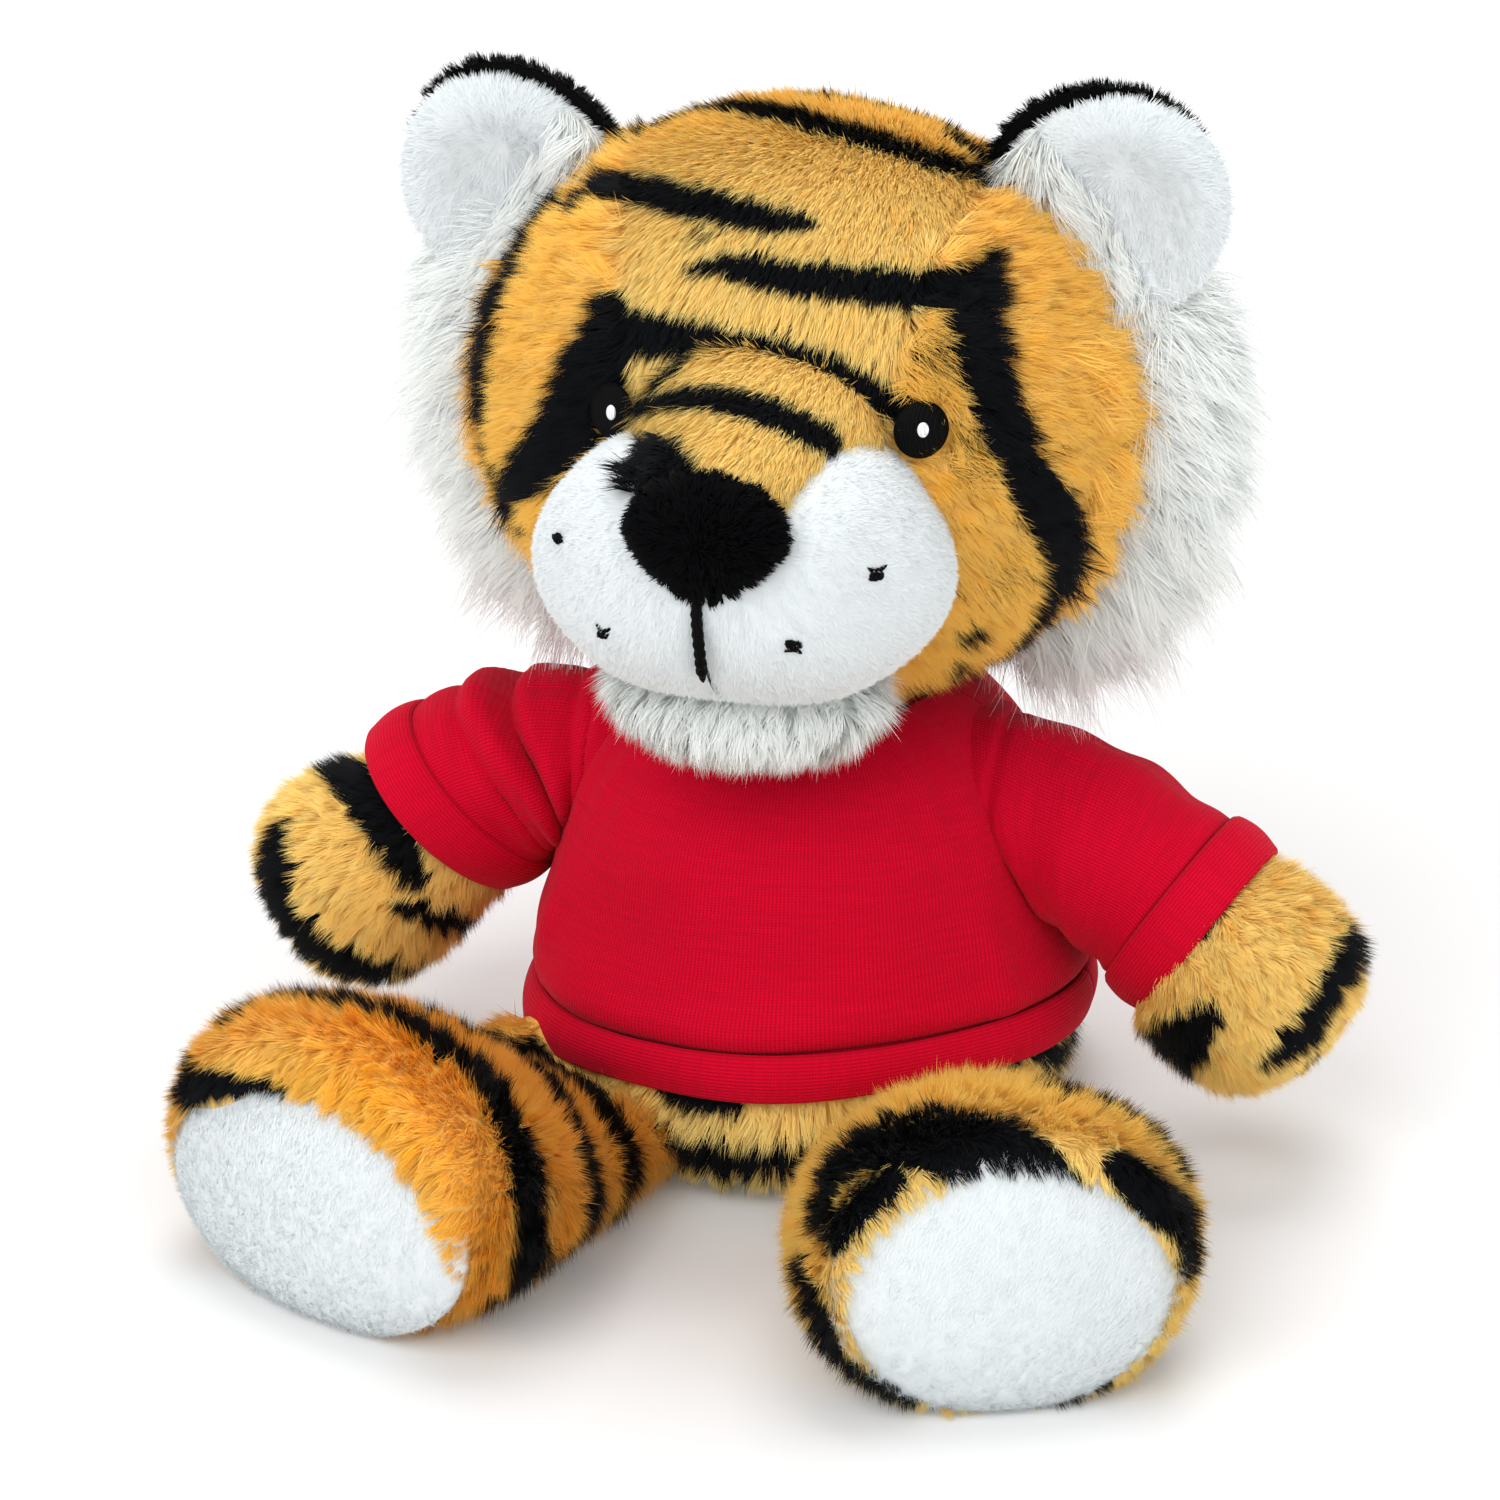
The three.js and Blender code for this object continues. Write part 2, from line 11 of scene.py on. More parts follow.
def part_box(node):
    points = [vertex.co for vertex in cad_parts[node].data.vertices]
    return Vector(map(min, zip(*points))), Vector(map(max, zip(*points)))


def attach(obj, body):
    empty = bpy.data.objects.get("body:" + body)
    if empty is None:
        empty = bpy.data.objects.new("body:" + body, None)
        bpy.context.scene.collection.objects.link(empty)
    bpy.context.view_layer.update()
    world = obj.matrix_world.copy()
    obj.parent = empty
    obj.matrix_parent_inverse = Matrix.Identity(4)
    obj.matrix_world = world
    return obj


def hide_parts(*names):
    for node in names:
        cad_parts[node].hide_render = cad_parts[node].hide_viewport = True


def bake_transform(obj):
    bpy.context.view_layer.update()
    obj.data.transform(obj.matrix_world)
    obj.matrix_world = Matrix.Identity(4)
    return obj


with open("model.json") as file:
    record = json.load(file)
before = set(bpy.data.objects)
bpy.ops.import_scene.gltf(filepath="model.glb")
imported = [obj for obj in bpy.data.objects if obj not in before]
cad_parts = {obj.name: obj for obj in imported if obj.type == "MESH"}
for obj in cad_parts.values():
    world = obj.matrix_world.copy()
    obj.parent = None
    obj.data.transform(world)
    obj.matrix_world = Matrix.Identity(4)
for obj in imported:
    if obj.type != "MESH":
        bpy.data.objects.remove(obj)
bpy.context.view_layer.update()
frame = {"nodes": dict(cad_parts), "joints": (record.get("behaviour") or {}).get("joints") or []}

MM = 0.001
FULL_TURN = 2 * math.pi
UP = np.array((0.0, 0.0, 1.0))
# The toy's own left is towards +X, and its face towards -Y
SIDES = {"left": 1, "right": -1}

# Camera

PHOTO_WIDTH = 1500
PHOTO_CENTRE = PHOTO_WIDTH / 2
SENSOR = 36
LENS = 124.2
CAMERA_AZIMUTH = math.radians(14.75)
CAMERA_ELEVATION = math.radians(24.96)
CAMERA_DISTANCE = 902.4 * MM
LOOK_AT = np.array((-4.9, -24.3, 74.6)) * MM

CAMERA_BACK = np.array((
    math.sin(CAMERA_AZIMUTH) * math.cos(CAMERA_ELEVATION),
    -math.cos(CAMERA_AZIMUTH) * math.cos(CAMERA_ELEVATION),
    math.sin(CAMERA_ELEVATION),
))
CAMERA_PLACE = LOOK_AT + CAMERA_BACK * CAMERA_DISTANCE
CAMERA_RIGHT = np.cross(UP, CAMERA_BACK) / np.linalg.norm(np.cross(UP, CAMERA_BACK))
CAMERA_UP = np.cross(CAMERA_BACK, CAMERA_RIGHT)


def add_camera():
    data = bpy.data.cameras.new("camera")
    data.lens = LENS
    data.sensor_width = SENSOR
    data.clip_start = 100 * MM
    camera = bpy.data.objects.new("camera", data)
    bpy.context.scene.collection.objects.link(camera)
    camera.location = CAMERA_PLACE
    camera.rotation_euler = Vector(CAMERA_BACK).to_track_quat("Z", "Y").to_euler()
    bpy.context.scene.camera = camera


def photo_ray(x, y):
    """The direction from the camera through a pixel of the photograph."""
    focal = LENS / SENSOR * PHOTO_WIDTH
    ray = -focal * CAMERA_BACK + (x - PHOTO_CENTRE) * CAMERA_RIGHT - (y - PHOTO_CENTRE) * CAMERA_UP
    return ray / np.linalg.norm(ray)


# Numbers and vectors


def unit(v):
    return v / np.maximum(np.linalg.norm(v, axis=-1, keepdims=True), 1e-12)


def smooth_step(low, high, x):
    """0 before low and 1 past high, with a soft slope between. It falls instead where high is below low."""
    t = np.clip((x - low) / (high - low), 0, 1)
    return t * t * (3 - 2 * t)


def hump(x, middle, width):
    """A soft bump that is 1 at the middle and fades over about its width."""
    return np.exp(-(((x - middle) / width) ** 2))


def spline(points, count):
    """count places along a smooth curve through points, evenly spaced from point to point."""
    p = np.array(points, float)
    padded = np.vstack((2 * p[0] - p[1], p, 2 * p[-1] - p[-2]))
    places = np.linspace(0, len(p) - 1, count)
    i = np.minimum(places.astype(int), len(p) - 2)
    t = (places - i)[:, None]
    a, b, c, d = padded[i], padded[i + 1], padded[i + 2], padded[i + 3]
    return 0.5 * (2 * b + (c - a) * t + (2 * a - 5 * b + 4 * c - d) * t**2 + (3 * b - a - 3 * c + d) * t**3)


def vectors(*parts):
    """A vector for each place, from parts that are a number each or a number for each place."""
    return np.stack(np.broadcast_arrays(*parts), -1)


def waves(p, scale, seed, count=7):
    """A soft uneven field from -1 to 1 over places p, whose swells are about scale apart."""
    rng = np.random.default_rng(seed)
    total = np.zeros(len(p))
    for _ in range(count):
        way = unit(rng.normal(size=3)) * rng.uniform(0.6, 1.4)
        total += np.sin(p @ way * (FULL_TURN / scale) + rng.uniform(0, FULL_TURN))
    return total / count**0.5 / 1.4


# Materials


def colour(code):
    """An sRGB hex colour as linear light."""
    parts = [int(code[i:i + 2], 16) / 255 for i in (1, 3, 5)]
    return [c / 12.92 if c <= 0.04045 else ((c + 0.055) / 1.055) ** 2.4 for c in parts] + [1]


def add(tree, kind, inputs=(), **settings):
    """A node with its settings, and its inputs as values or links."""
    node = tree.nodes.new(kind)
    for key, value in settings.items():
        setattr(node, key, value)
    for key, value in dict(inputs).items():
        if isinstance(value, bpy.types.NodeSocket):
            tree.links.new(value, node.inputs[key])
        else:
            node.inputs[key].default_value = value
    return node


def new_material(name, roughness, shine=0.5, sheen=0.0, sheen_roughness=0.5):
    material = bpy.data.materials.new(name)
    material.use_nodes = True
    shader = material.node_tree.nodes["Principled BSDF"]
    shader.inputs["Roughness"].default_value = roughness
    shader.inputs["Specular IOR Level"].default_value = shine
    shader.inputs["Sheen Weight"].default_value = sheen
    shader.inputs["Sheen Roughness"].default_value = sheen_roughness
    return material, material.node_tree, shader


def mix_colours(tree, share, first, second):
    return add(tree, "ShaderNodeMix", {0: share, 6: first, 7: second}, data_type="RGBA").outputs[2]


def pile_facts(tree):
    """Dye, tone and place along the strand, as each strand of pile carries them."""
    facts = add(tree, "ShaderNodeAttribute", attribute_name="pile")
    return add(tree, "ShaderNodeSeparateColor", {"Color": facts.outputs["Color"]}).outputs


# Light comes through fibres as fine as these, so that a strand is lit from behind too
FIBRE_CLEARNESS = 0.28


def light_through(tree, shader, fibre_colour):
    tree.links.new(fibre_colour, shader.inputs["Base Color"])
    behind = add(tree, "ShaderNodeBsdfTranslucent", {"Color": fibre_colour}).outputs[0]
    both = add(tree, "ShaderNodeMixShader", {0: FIBRE_CLEARNESS, 1: shader.outputs[0], 2: behind}).outputs[0]
    tree.links.new(both, tree.nodes["Material Output"].inputs["Surface"])


def dye_and_ridges(tree, shader, base, height, strength, depth):
    """Gives a material its colour, and ridges up to a depth."""
    tree.links.new(base, shader.inputs["Base Color"])
    bump = add(tree, "ShaderNodeBump", {"Height": height, "Strength": strength, "Distance": depth})
    tree.links.new(bump.outputs[0], shader.inputs["Normal"])


def printed_plush():
    """Polyester plush with its stripes printed on. Soft and matt, paler at the tips, and darker at the roots:
    partly the fibres' own colour, partly painted shade deep in the pile.
    """
    material, tree, shader = new_material("printed_polyester_plush", 0.75, shine=0.12, sheen=0.06)
    dye, tone, tip = pile_facts(tree)
    orange = mix_colours(tree, tone, colour("#FFEA96"), colour("#FFBD2A"))
    # Darker towards the roots: partly the fibres' own colour, partly painted shade deep in the pile
    depth = add(tree, "ShaderNodeMapRange", {"Value": tip, "To Min": 0.66, "To Max": 1.0}).outputs[0]
    rooted = mix_colours(tree, depth, colour("#E29B28"), orange)
    black = mix_colours(tree, tip, colour("#030405"), colour("#0E1116"))
    light_through(tree, shader, mix_colours(tree, dye, rooted, black))
    return material


def plain_plush(name, root, end, sheen):
    """Polyester plush of one colour. Soft and matt, and its fibres are paler at the tips and darker at the
    roots: partly their own colour, partly painted shade deep in the pile.
    """
    material, tree, shader = new_material(name, 0.75, shine=sheen, sheen=sheen)
    _, tone, tip = pile_facts(tree)
    # Darker towards the roots: partly the fibres' own colour, partly painted shade deep in the pile
    along = mix_colours(tree, tip, colour(root), colour(end))
    light_through(tree, shader, mix_colours(tree, tone, along, colour(root)))
    return material


# The wales are drawn a little coarser than the real 0.5 mm, so that they still show in the render
WALE = 0.62 * MM
COURSE = 0.5 * MM


def cotton_jersey():
    """Single jersey knitted from dyed cotton. Matt, with fine upright wales and a slightly uneven yarn."""
    material, tree, shader = new_material(
        "red_cotton_jersey", 0.85, shine=0.05, sheen=0.03, sheen_roughness=0.4,
    )

    def sum_of(operation, *values):
        return add(tree, "ShaderNodeMath", dict(enumerate(values)), operation=operation).outputs[0]

    flat = add(tree, "ShaderNodeUVMap", uv_map="cloth").outputs["UV"]
    axes = add(tree, "ShaderNodeSeparateXYZ", {"Vector": flat}).outputs
    wales = sum_of("COSINE", sum_of("MULTIPLY", axes["X"], FULL_TURN / WALE))
    down = sum_of("MULTIPLY_ADD", axes["Y"], FULL_TURN / COURSE, sum_of("ABSOLUTE", wales))
    knit = sum_of("MULTIPLY_ADD", sum_of("COSINE", down), 0.45, wales)
    stretched = add(tree, "ShaderNodeMapping", {"Vector": flat, "Scale": (90, 1000, 1)}).outputs[0]
    slub = add(tree, "ShaderNodeTexNoise", {"Vector": stretched, "Scale": 1.0}).outputs[0]
    shade = add(tree, "ShaderNodeMapRange", {"Value": knit, "From Min": -1.45, "From Max": 1.45}).outputs[0]
    # Painted shade: the yarn is darker in the knit's hollows and paler on its loops
    yarn = mix_colours(tree, shade, colour("#A0021D"), colour("#D6052D"))
    slub_range = {"Value": slub, "From Min": 0.3, "From Max": 0.7, "To Max": 0.6}
    uneven = add(tree, "ShaderNodeMapRange", slub_range).outputs[0]
    dye_and_ridges(tree, shader, mix_colours(tree, uneven, yarn, colour("#AC0422")), knit, 0.4, 0.12 * MM)
    return material


def satin_stitch(name, dark, light):
    """Rayon embroidery thread laid side by side. It shines softly, and its stitches stand up in ridges."""
    material, tree, shader = new_material(name, 0.6, shine=0.06)
    place = add(tree, "ShaderNodeTexCoord").outputs["Object"]
    laid = add(tree, "ShaderNodeMapping", {"Vector": place, "Rotation": (0.3, 0, 0.4)}).outputs[0]
    threads = add(
        tree, "ShaderNodeTexWave",
        {"Vector": laid, "Scale": 700.0, "Distortion": 2.0, "Detail": 1.0}, bands_direction="X",
    ).outputs["Fac"]
    # Painted shade: the thread is darker between its ridges and paler on them
    yarn = mix_colours(tree, threads, colour(dark), colour(light))
    dye_and_ridges(tree, shader, yarn, threads, 0.7, 0.1 * MM)
    return material


def hidden_filling(name, pale, shaded, grain):
    """Loose filling behind the covers. Matt, and uneven at the scale of its clumps or pellets."""
    material, tree, shader = new_material(name, 0.95)
    place = add(tree, "ShaderNodeTexCoord").outputs["Object"]
    clumps = add(tree, "ShaderNodeTexVoronoi", {"Vector": place, "Scale": 1 / grain}).outputs["Distance"]
    uneven = mix_colours(tree, clumps, colour(pale), colour(shaded))
    dye_and_ridges(tree, shader, uneven, clumps, 0.8, grain / 3)
    return material


# Meshes


def new_piece(name, points, faces, material):
    """A mesh object from an array of points and an array of triangles or quads."""
    faces = np.asarray(faces, np.int32)
    sides = faces.shape[1]
    mesh = bpy.data.meshes.new(name)
    mesh.vertices.add(len(points))
    mesh.vertices.foreach_set("co", np.asarray(points, np.float32).ravel())
    mesh.loops.add(faces.size)
    mesh.loops.foreach_set("vertex_index", faces.ravel())
    mesh.polygons.add(len(faces))
    mesh.polygons.foreach_set("loop_start", np.arange(0, faces.size, sides, dtype=np.int32))
    mesh.update(calc_edges=True)
    mesh.polygons.foreach_set("use_smooth", np.ones(len(faces), bool))
    mesh.materials.append(material)
    piece = bpy.data.objects.new(name, mesh)
    bpy.context.scene.collection.objects.link(piece)
    return piece


def set_facts(piece, dye, tone, tip):
    """Writes each point's dye, tone and place along the strand."""
    facts = np.ones((len(piece.data.vertices), 4), np.float32)
    facts[:, 0] = dye
    facts[:, 1] = tone
    facts[:, 2] = tip
    layer = piece.data.color_attributes.new("pile", "FLOAT_COLOR", "POINT")
    layer.data.foreach_set("color", facts.ravel())


def grid_faces(rows, columns, closed):
    """Quads between rows of points, which run round if closed."""
    i, j = np.meshgrid(np.arange(rows - 1), np.arange(columns if closed else columns - 1), indexing="ij")
    k = (j + 1) % columns
    i, below = i * columns, (i + 1) * columns
    return np.stack((i + j, i + k, below + k, below + j), -1).reshape(-1, 4)


def skin_of_rings(name, rings, material):
    """A closed skin through rings of points, the first and last of which are drawn to their middles."""
    rows, columns = rings.shape[:2]
    rings = rings.copy()
    rings[0] = rings[0].mean(0)
    rings[-1] = rings[-1].mean(0)
    piece = new_piece(name, rings.reshape(-1, 3), grid_faces(rows, columns, True), material)
    tidy(piece)
    return piece


def round_tube(places, first, second, thick, sides):
    """Rings about places along a line, across two directions at right angles to it."""
    return np.stack([
        places + thick[:, None] * (math.cos(a) * first + math.sin(a) * second)
        for a in np.linspace(0, FULL_TURN, sides, endpoint=False)
    ], 1)


def only(piece):
    for other in bpy.context.selected_objects:
        other.select_set(False)
    bpy.context.view_layer.objects.active = piece
    piece.select_set(True)


def tidy(piece):
    """Merges doubled points and turns all faces outwards."""
    only(piece)
    bpy.ops.object.mode_set(mode="EDIT")
    bpy.ops.mesh.select_all(action="SELECT")
    bpy.ops.mesh.remove_doubles(threshold=0.01 * MM)
    bpy.ops.mesh.normals_make_consistent(inside=False)
    bpy.ops.object.mode_set(mode="OBJECT")
    piece.data.polygons.foreach_set("use_smooth", np.ones(len(piece.data.polygons), bool))


def stuffed_ball(name, centre, half, material, detail=5):
    """A round skin of the given half sizes, to be shaped further."""
    bpy.ops.object.select_all(action="DESELECT")
    bpy.ops.mesh.primitive_ico_sphere_add(subdivisions=detail, radius=1, location=(0, 0, 0))
    piece = bpy.context.object
    piece.name = name
    piece.data.name = name
    piece.data.materials.append(material)
    piece.data.polygons.foreach_set("use_smooth", np.ones(len(piece.data.polygons), bool))
    put_points(piece, points_of(piece) * np.array(half) + np.array(centre))
    return piece


def at_points(piece, what):
    """A vector at each of a piece's points, such as the place or the normal."""
    values = np.empty(len(piece.data.vertices) * 3, np.float32)
    piece.data.vertices.foreach_get(what, values)
    return values.reshape(-1, 3).astype(float)


def points_of(piece):
    return at_points(piece, "co")


def normals_of(piece):
    return at_points(piece, "normal")


def put_points(piece, points):
    piece.data.vertices.foreach_set("co", np.asarray(points, np.float32).ravel())
    piece.data.update()


def triangles_of(piece):
    piece.data.calc_loop_triangles()
    corners = np.empty(len(piece.data.loop_triangles) * 3, np.int32)
    piece.data.loop_triangles.foreach_get("vertices", corners)
    return corners.reshape(-1, 3)


def tree_of(piece):
    return BVHTree.FromPolygons(points_of(piece).tolist(), triangles_of(piece).tolist())


# Fields that the forms share


class Oval:
    """A ball of three half sizes, with a rough distance to its surface."""

    def __init__(self, centre, half):
        self.centre = np.array(centre)
        self.half = np.array(half)

    def distance(self, p):
        q = (p - self.centre) / self.half
        reach = np.linalg.norm(q, axis=-1)
        slope = np.linalg.norm(q / self.half, axis=-1)
        return reach * (reach - 1) / np.maximum(slope, 1e-9)


def ease_into(points, normals, other, reach):
    """Draws a skin out where it meets another form, so that the two run into each other softly."""
    meet = np.clip(reach - np.abs(other.distance(points)), 0, None) / reach
    return points + normals * (meet**2 * reach / 4)[:, None]


# Stripes

# The fibres carry the print a little past its edges
STRIPE_SPREAD = 1.15


def seen_on(surface, places):
    """The points of a surface under pixels of the photograph, as (x, y, z, half width) rows."""
    rows = []
    start = Vector(CAMERA_PLACE)
    for x, y, half_width in places:
        ray = photo_ray(x, y)
        hit = surface.ray_cast(start, Vector(ray))[0]
        if hit is None:
            depths = np.linspace(0.8, 1.1, 60) * CAMERA_DISTANCE
            nearest = [surface.find_nearest(start + Vector(ray) * depth) for depth in depths]
            hit = min(nearest, key=lambda found: found[3])[0]
        rows.append((*hit, half_width * STRIPE_SPREAD * MM))
    return rows


def back_bars(bars, place, bow, taper):
    """Stripes from one angle round to another at a level, bowed upwards and tapered to their ends."""
    return [
        [
            (*place(start + (end - start) * share, level + bow * math.sin(3 * share)),
             half_width * MM * (1 - taper * share**2))
            for share in np.linspace(0, 1, 6)
        ]
        for start, end, level, half_width in bars
    ]


def inside_stripes(p, stripes):
    """How far each place lies inside the nearest stripe, in metres: positive inside, negative outside."""
    best = np.full(len(p), -1.0)
    for rows in stripes:
        rows = np.array(rows)
        for a, b in zip(rows[:-1], rows[1:]):
            along = b[:3] - a[:3]
            t = np.clip((p - a[:3]) @ along / max(along @ along, 1e-12), 0, 1)
            gap = np.linalg.norm(p - a[:3] - t[:, None] * along, axis=1)
            best = np.maximum(best, a[3] + t * (b[3] - a[3]) - gap)
    return best


# Pile

SOFTNESS = 0.78
FLOOR_GAP = 0.2 * MM
# How far past a stripe's edge the print's colour may run from strand to strand, in millimetres
RAGGED = 0.6
SLOTS = {"tiger": "tiger_fur", "white": "white_plush", "long": "long_pile", "black": "black_plush"}


def fit(piece, slot, body, *nodes):
    """Puts a piece on the body that it rides, and hides the solids that it stands for. The slot, what the
    piece is made of, is not used.
    """
    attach(piece, body)
    if nodes:
        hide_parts(*nodes)


def at(places, rule):
    """What a rule gives at each place, where the rule is a function of places or the same everywhere."""
    return rule(places) if callable(rule) else rule


def nearest(places, queries):
    """Which of the places lies nearest to each query."""
    tree = KDTree(len(places))
    for index, place in enumerate(places.tolist()):
        tree.insert(place, index)
    tree.balance()
    return np.fromiter((tree.find(query)[1] for query in queries.tolist()), int, len(queries))


def scatter(skin, keep, density, rng):
    """Random places on the kept part of a skin, density to a square millimetre, and its normals there."""
    points, normals, corners = points_of(skin), normals_of(skin), triangles_of(skin)
    corners = corners[keep(points[corners].mean(1))]
    a, b, c = points[corners[:, 0]], points[corners[:, 1]], points[corners[:, 2]]
    areas = np.linalg.norm(np.cross(b - a, c - a), axis=1) / 2
    count = int(areas.sum() / MM**2 * density)
    chosen = corners[np.searchsorted(np.cumsum(areas) / areas.sum(), rng.random(count))]
    u, v = rng.random((2, count))
    flip = u + v > 1
    u[flip], v[flip] = 1 - u[flip], 1 - v[flip]
    shares = np.stack((1 - u - v, u, v), -1)[:, :, None]
    return (points[chosen] * shares).sum(1), unit((normals[chosen] * shares).sum(1))


def strips(spine, across):
    """The points and faces of flat strips along spines of a few joints, which taper to their tips."""
    joints = len(spine) - 1
    rows = []
    for joint, place in enumerate(spine[:-1]):
        taper = 1 - 0.22 * joint
        rows += [place - across * taper, place + across * taper]
    rows.append(spine[-1])
    pattern = []
    for left in range(0, 2 * joints - 2, 2):
        pattern += [(left, left + 3, left + 1), (left, left + 2, left + 3)]
    pattern.append((2 * joints - 2, 2 * joints, 2 * joints - 1))
    faces = np.arange(len(across))[:, None, None] * len(rows) + np.array(pattern)[None]
    return np.stack(rows, 1).reshape(-1, 3), faces.reshape(-1, 3)


def grow_pile(
    name, skin, body, kind, keep, comb, length, seed, density, width, lean, tuft, gather, stray,
    joints=1, tone=0, droop=0, stripes=(), smudge=None, on_floor=False, softness=SOFTNESS,
):
    """Strands of pile on a skin. Each is a flat tapered strip of a few joints, rooted just under the skin,
    that leans along the comb direction, from the first to the second of two angles. density is in strands to
    a square millimetre. Strands stand together in tufts of about tuft strands, drawn to their middle by the
    share gather. Lengths and widths are in millimetres."""
    rng = np.random.default_rng(seed)
    roots, out = scatter(skin, keep, density, rng)
    count = len(roots)
    leaders = roots[rng.choice(count, max(count // tuft, 1), replace=False)]
    group = nearest(leaders, roots)
    group_way = rng.normal(size=(len(leaders), 3))[group]
    group_size = rng.normal(size=len(leaders))[group]

    way = at(roots, comb)
    way = unit(way - (way * out).sum(1, keepdims=True) * out)
    way = way + stray * group_way + 0.4 * stray * rng.normal(size=(count, 3))
    way = unit(way - (way * out).sum(1, keepdims=True) * out)
    size = at(roots, length) * MM * np.clip(1 + 0.08 * group_size + 0.12 * rng.normal(size=count), 0.5, 1.45)
    pull = (leaders[group] - roots) * gather

    spine = [roots - out * 0.3 * MM]
    low, high = np.radians(lean)
    tilt = np.clip(rng.normal(1, 0.16, count), 0.4, 1.5)
    for joint in range(joints):
        angle = (low + (high - low) * (joint + 0.5) / joints) * tilt
        angle = np.clip(angle, 0, math.radians(86))
        step = np.cos(angle)[:, None] * out + np.sin(angle)[:, None] * way
        place = spine[-1] + step * (size / joints)[:, None] + pull / joints
        place[:, 2] -= droop * size * ((joint + 1) / joints) ** 2
        spine.append(place)
    if on_floor:
        for place in spine:
            place[:, 2] = np.maximum(place[:, 2], FLOOR_GAP + rng.random(count) * 0.6 * MM)

    roll = rng.normal(size=(count, 1)) * 0.38
    side = unit(np.cross(out, way) + roll * out)
    half = (width / 2 * MM) * np.clip(rng.normal(1, 0.2, count), 0.5, 1.6)[:, None]
    piece = new_piece(name, *strips(spine, side * half), materials[kind])
    per_strand = 2 * joints + 1
    # Light wraps round such thin fibres, so they are shaded much as the skin under them is
    facing = unit(np.cross(spine[-1] - spine[0], side))
    soft = unit(softness * out + (1 - softness) * facing + 0.5 * (1 - softness) * group_way)
    piece.data.normals_split_custom_set_from_vertices(np.repeat(soft, per_strand, 0))

    middle = (spine[0] + spine[-1]) / 2
    middle = middle - ((middle - roots) * out).sum(1, keepdims=True) * out
    dye = np.zeros(count)
    if stripes:
        depth = inside_stripes(middle, stripes) / MM
        depth += RAGGED * (0.5 * np.clip(group_size, -2, 2) + 0.5 * rng.normal(size=count))
        dye = (depth > 0).astype(float)
    if smudge is not None:
        dye = np.maximum(dye, (rng.random(count) < smudge(middle)).astype(float))
    hue = np.clip(at(roots, tone) + 0.07 * group_size + 0.07 * rng.normal(size=count), 0, 1)
    tips = np.concatenate([np.repeat(np.arange(joints) / joints, 2), [1.0]])
    set_facts(piece, np.repeat(dye, per_strand), np.repeat(hue, per_strand), np.tile(tips, count))
    fit(piece, SLOTS[kind], body)


def dress_skin(skin, body, kind, nodes, stripes=(), tone=0):
    """Prints the stripes on a stuffed skin too, puts it on its body, and hides the solids that it stands for.
    """
    points = points_of(skin)
    dye = (inside_stripes(points, stripes) > 0).astype(float) if stripes else 0
    # The skin takes the colour of the fibres near their roots: partly its own colour, partly painted shade
    # deep in the pile
    set_facts(skin, dye, at(points, tone), 0.15)
    fit(skin, SLOTS[kind], body, *nodes)


def middle_of(node):
    low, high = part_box(node)
    return np.array((low + high) / 2)


def size_of(node):
    low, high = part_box(node)
    return np.array(high - low)


def joint_place(name):
    return np.array(next(j["pos_m"] for j in frame["joints"] if j["name"] == name))


def node_points(node):
    return np.array([v.co for v in frame["nodes"][node].data.vertices], float)


materials = {
    "tiger": printed_plush(),
    "white": plain_plush("white_short_plush", "#E6EBED", "#F2F6F7", 0.1),
    "long": plain_plush("white_long_plush", "#EDF2EF", "#F9FBFA", 0.1),
    "black": plain_plush("black_plush", "#010102", "#050609", 0.05),
    "jersey": cotton_jersey(),
    "thread": satin_stitch("black_rayon_thread", "#010101", "#060708"),
    "glint": satin_stitch("white_rayon_thread", "#C9C8CF", "#F4F3F6"),
    "fibre": hidden_filling("hollow_polyester_fibre", "#F4F4F0", "#D8D8D2", 6 * MM),
    "pellets": hidden_filling("woven_bag_of_pellets", "#D8D4C8", "#A9A498", 3 * MM),
}

# Head

head_centre = middle_of("head_cover")
head_half = size_of("head_cover") / 2
HEAD_HEIGHT_SHARE = 0.9
head_half[2] = head_half[0] * HEAD_HEIGHT_SHARE
head_centre[2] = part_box("head_cover")[1][2] - head_half[2]

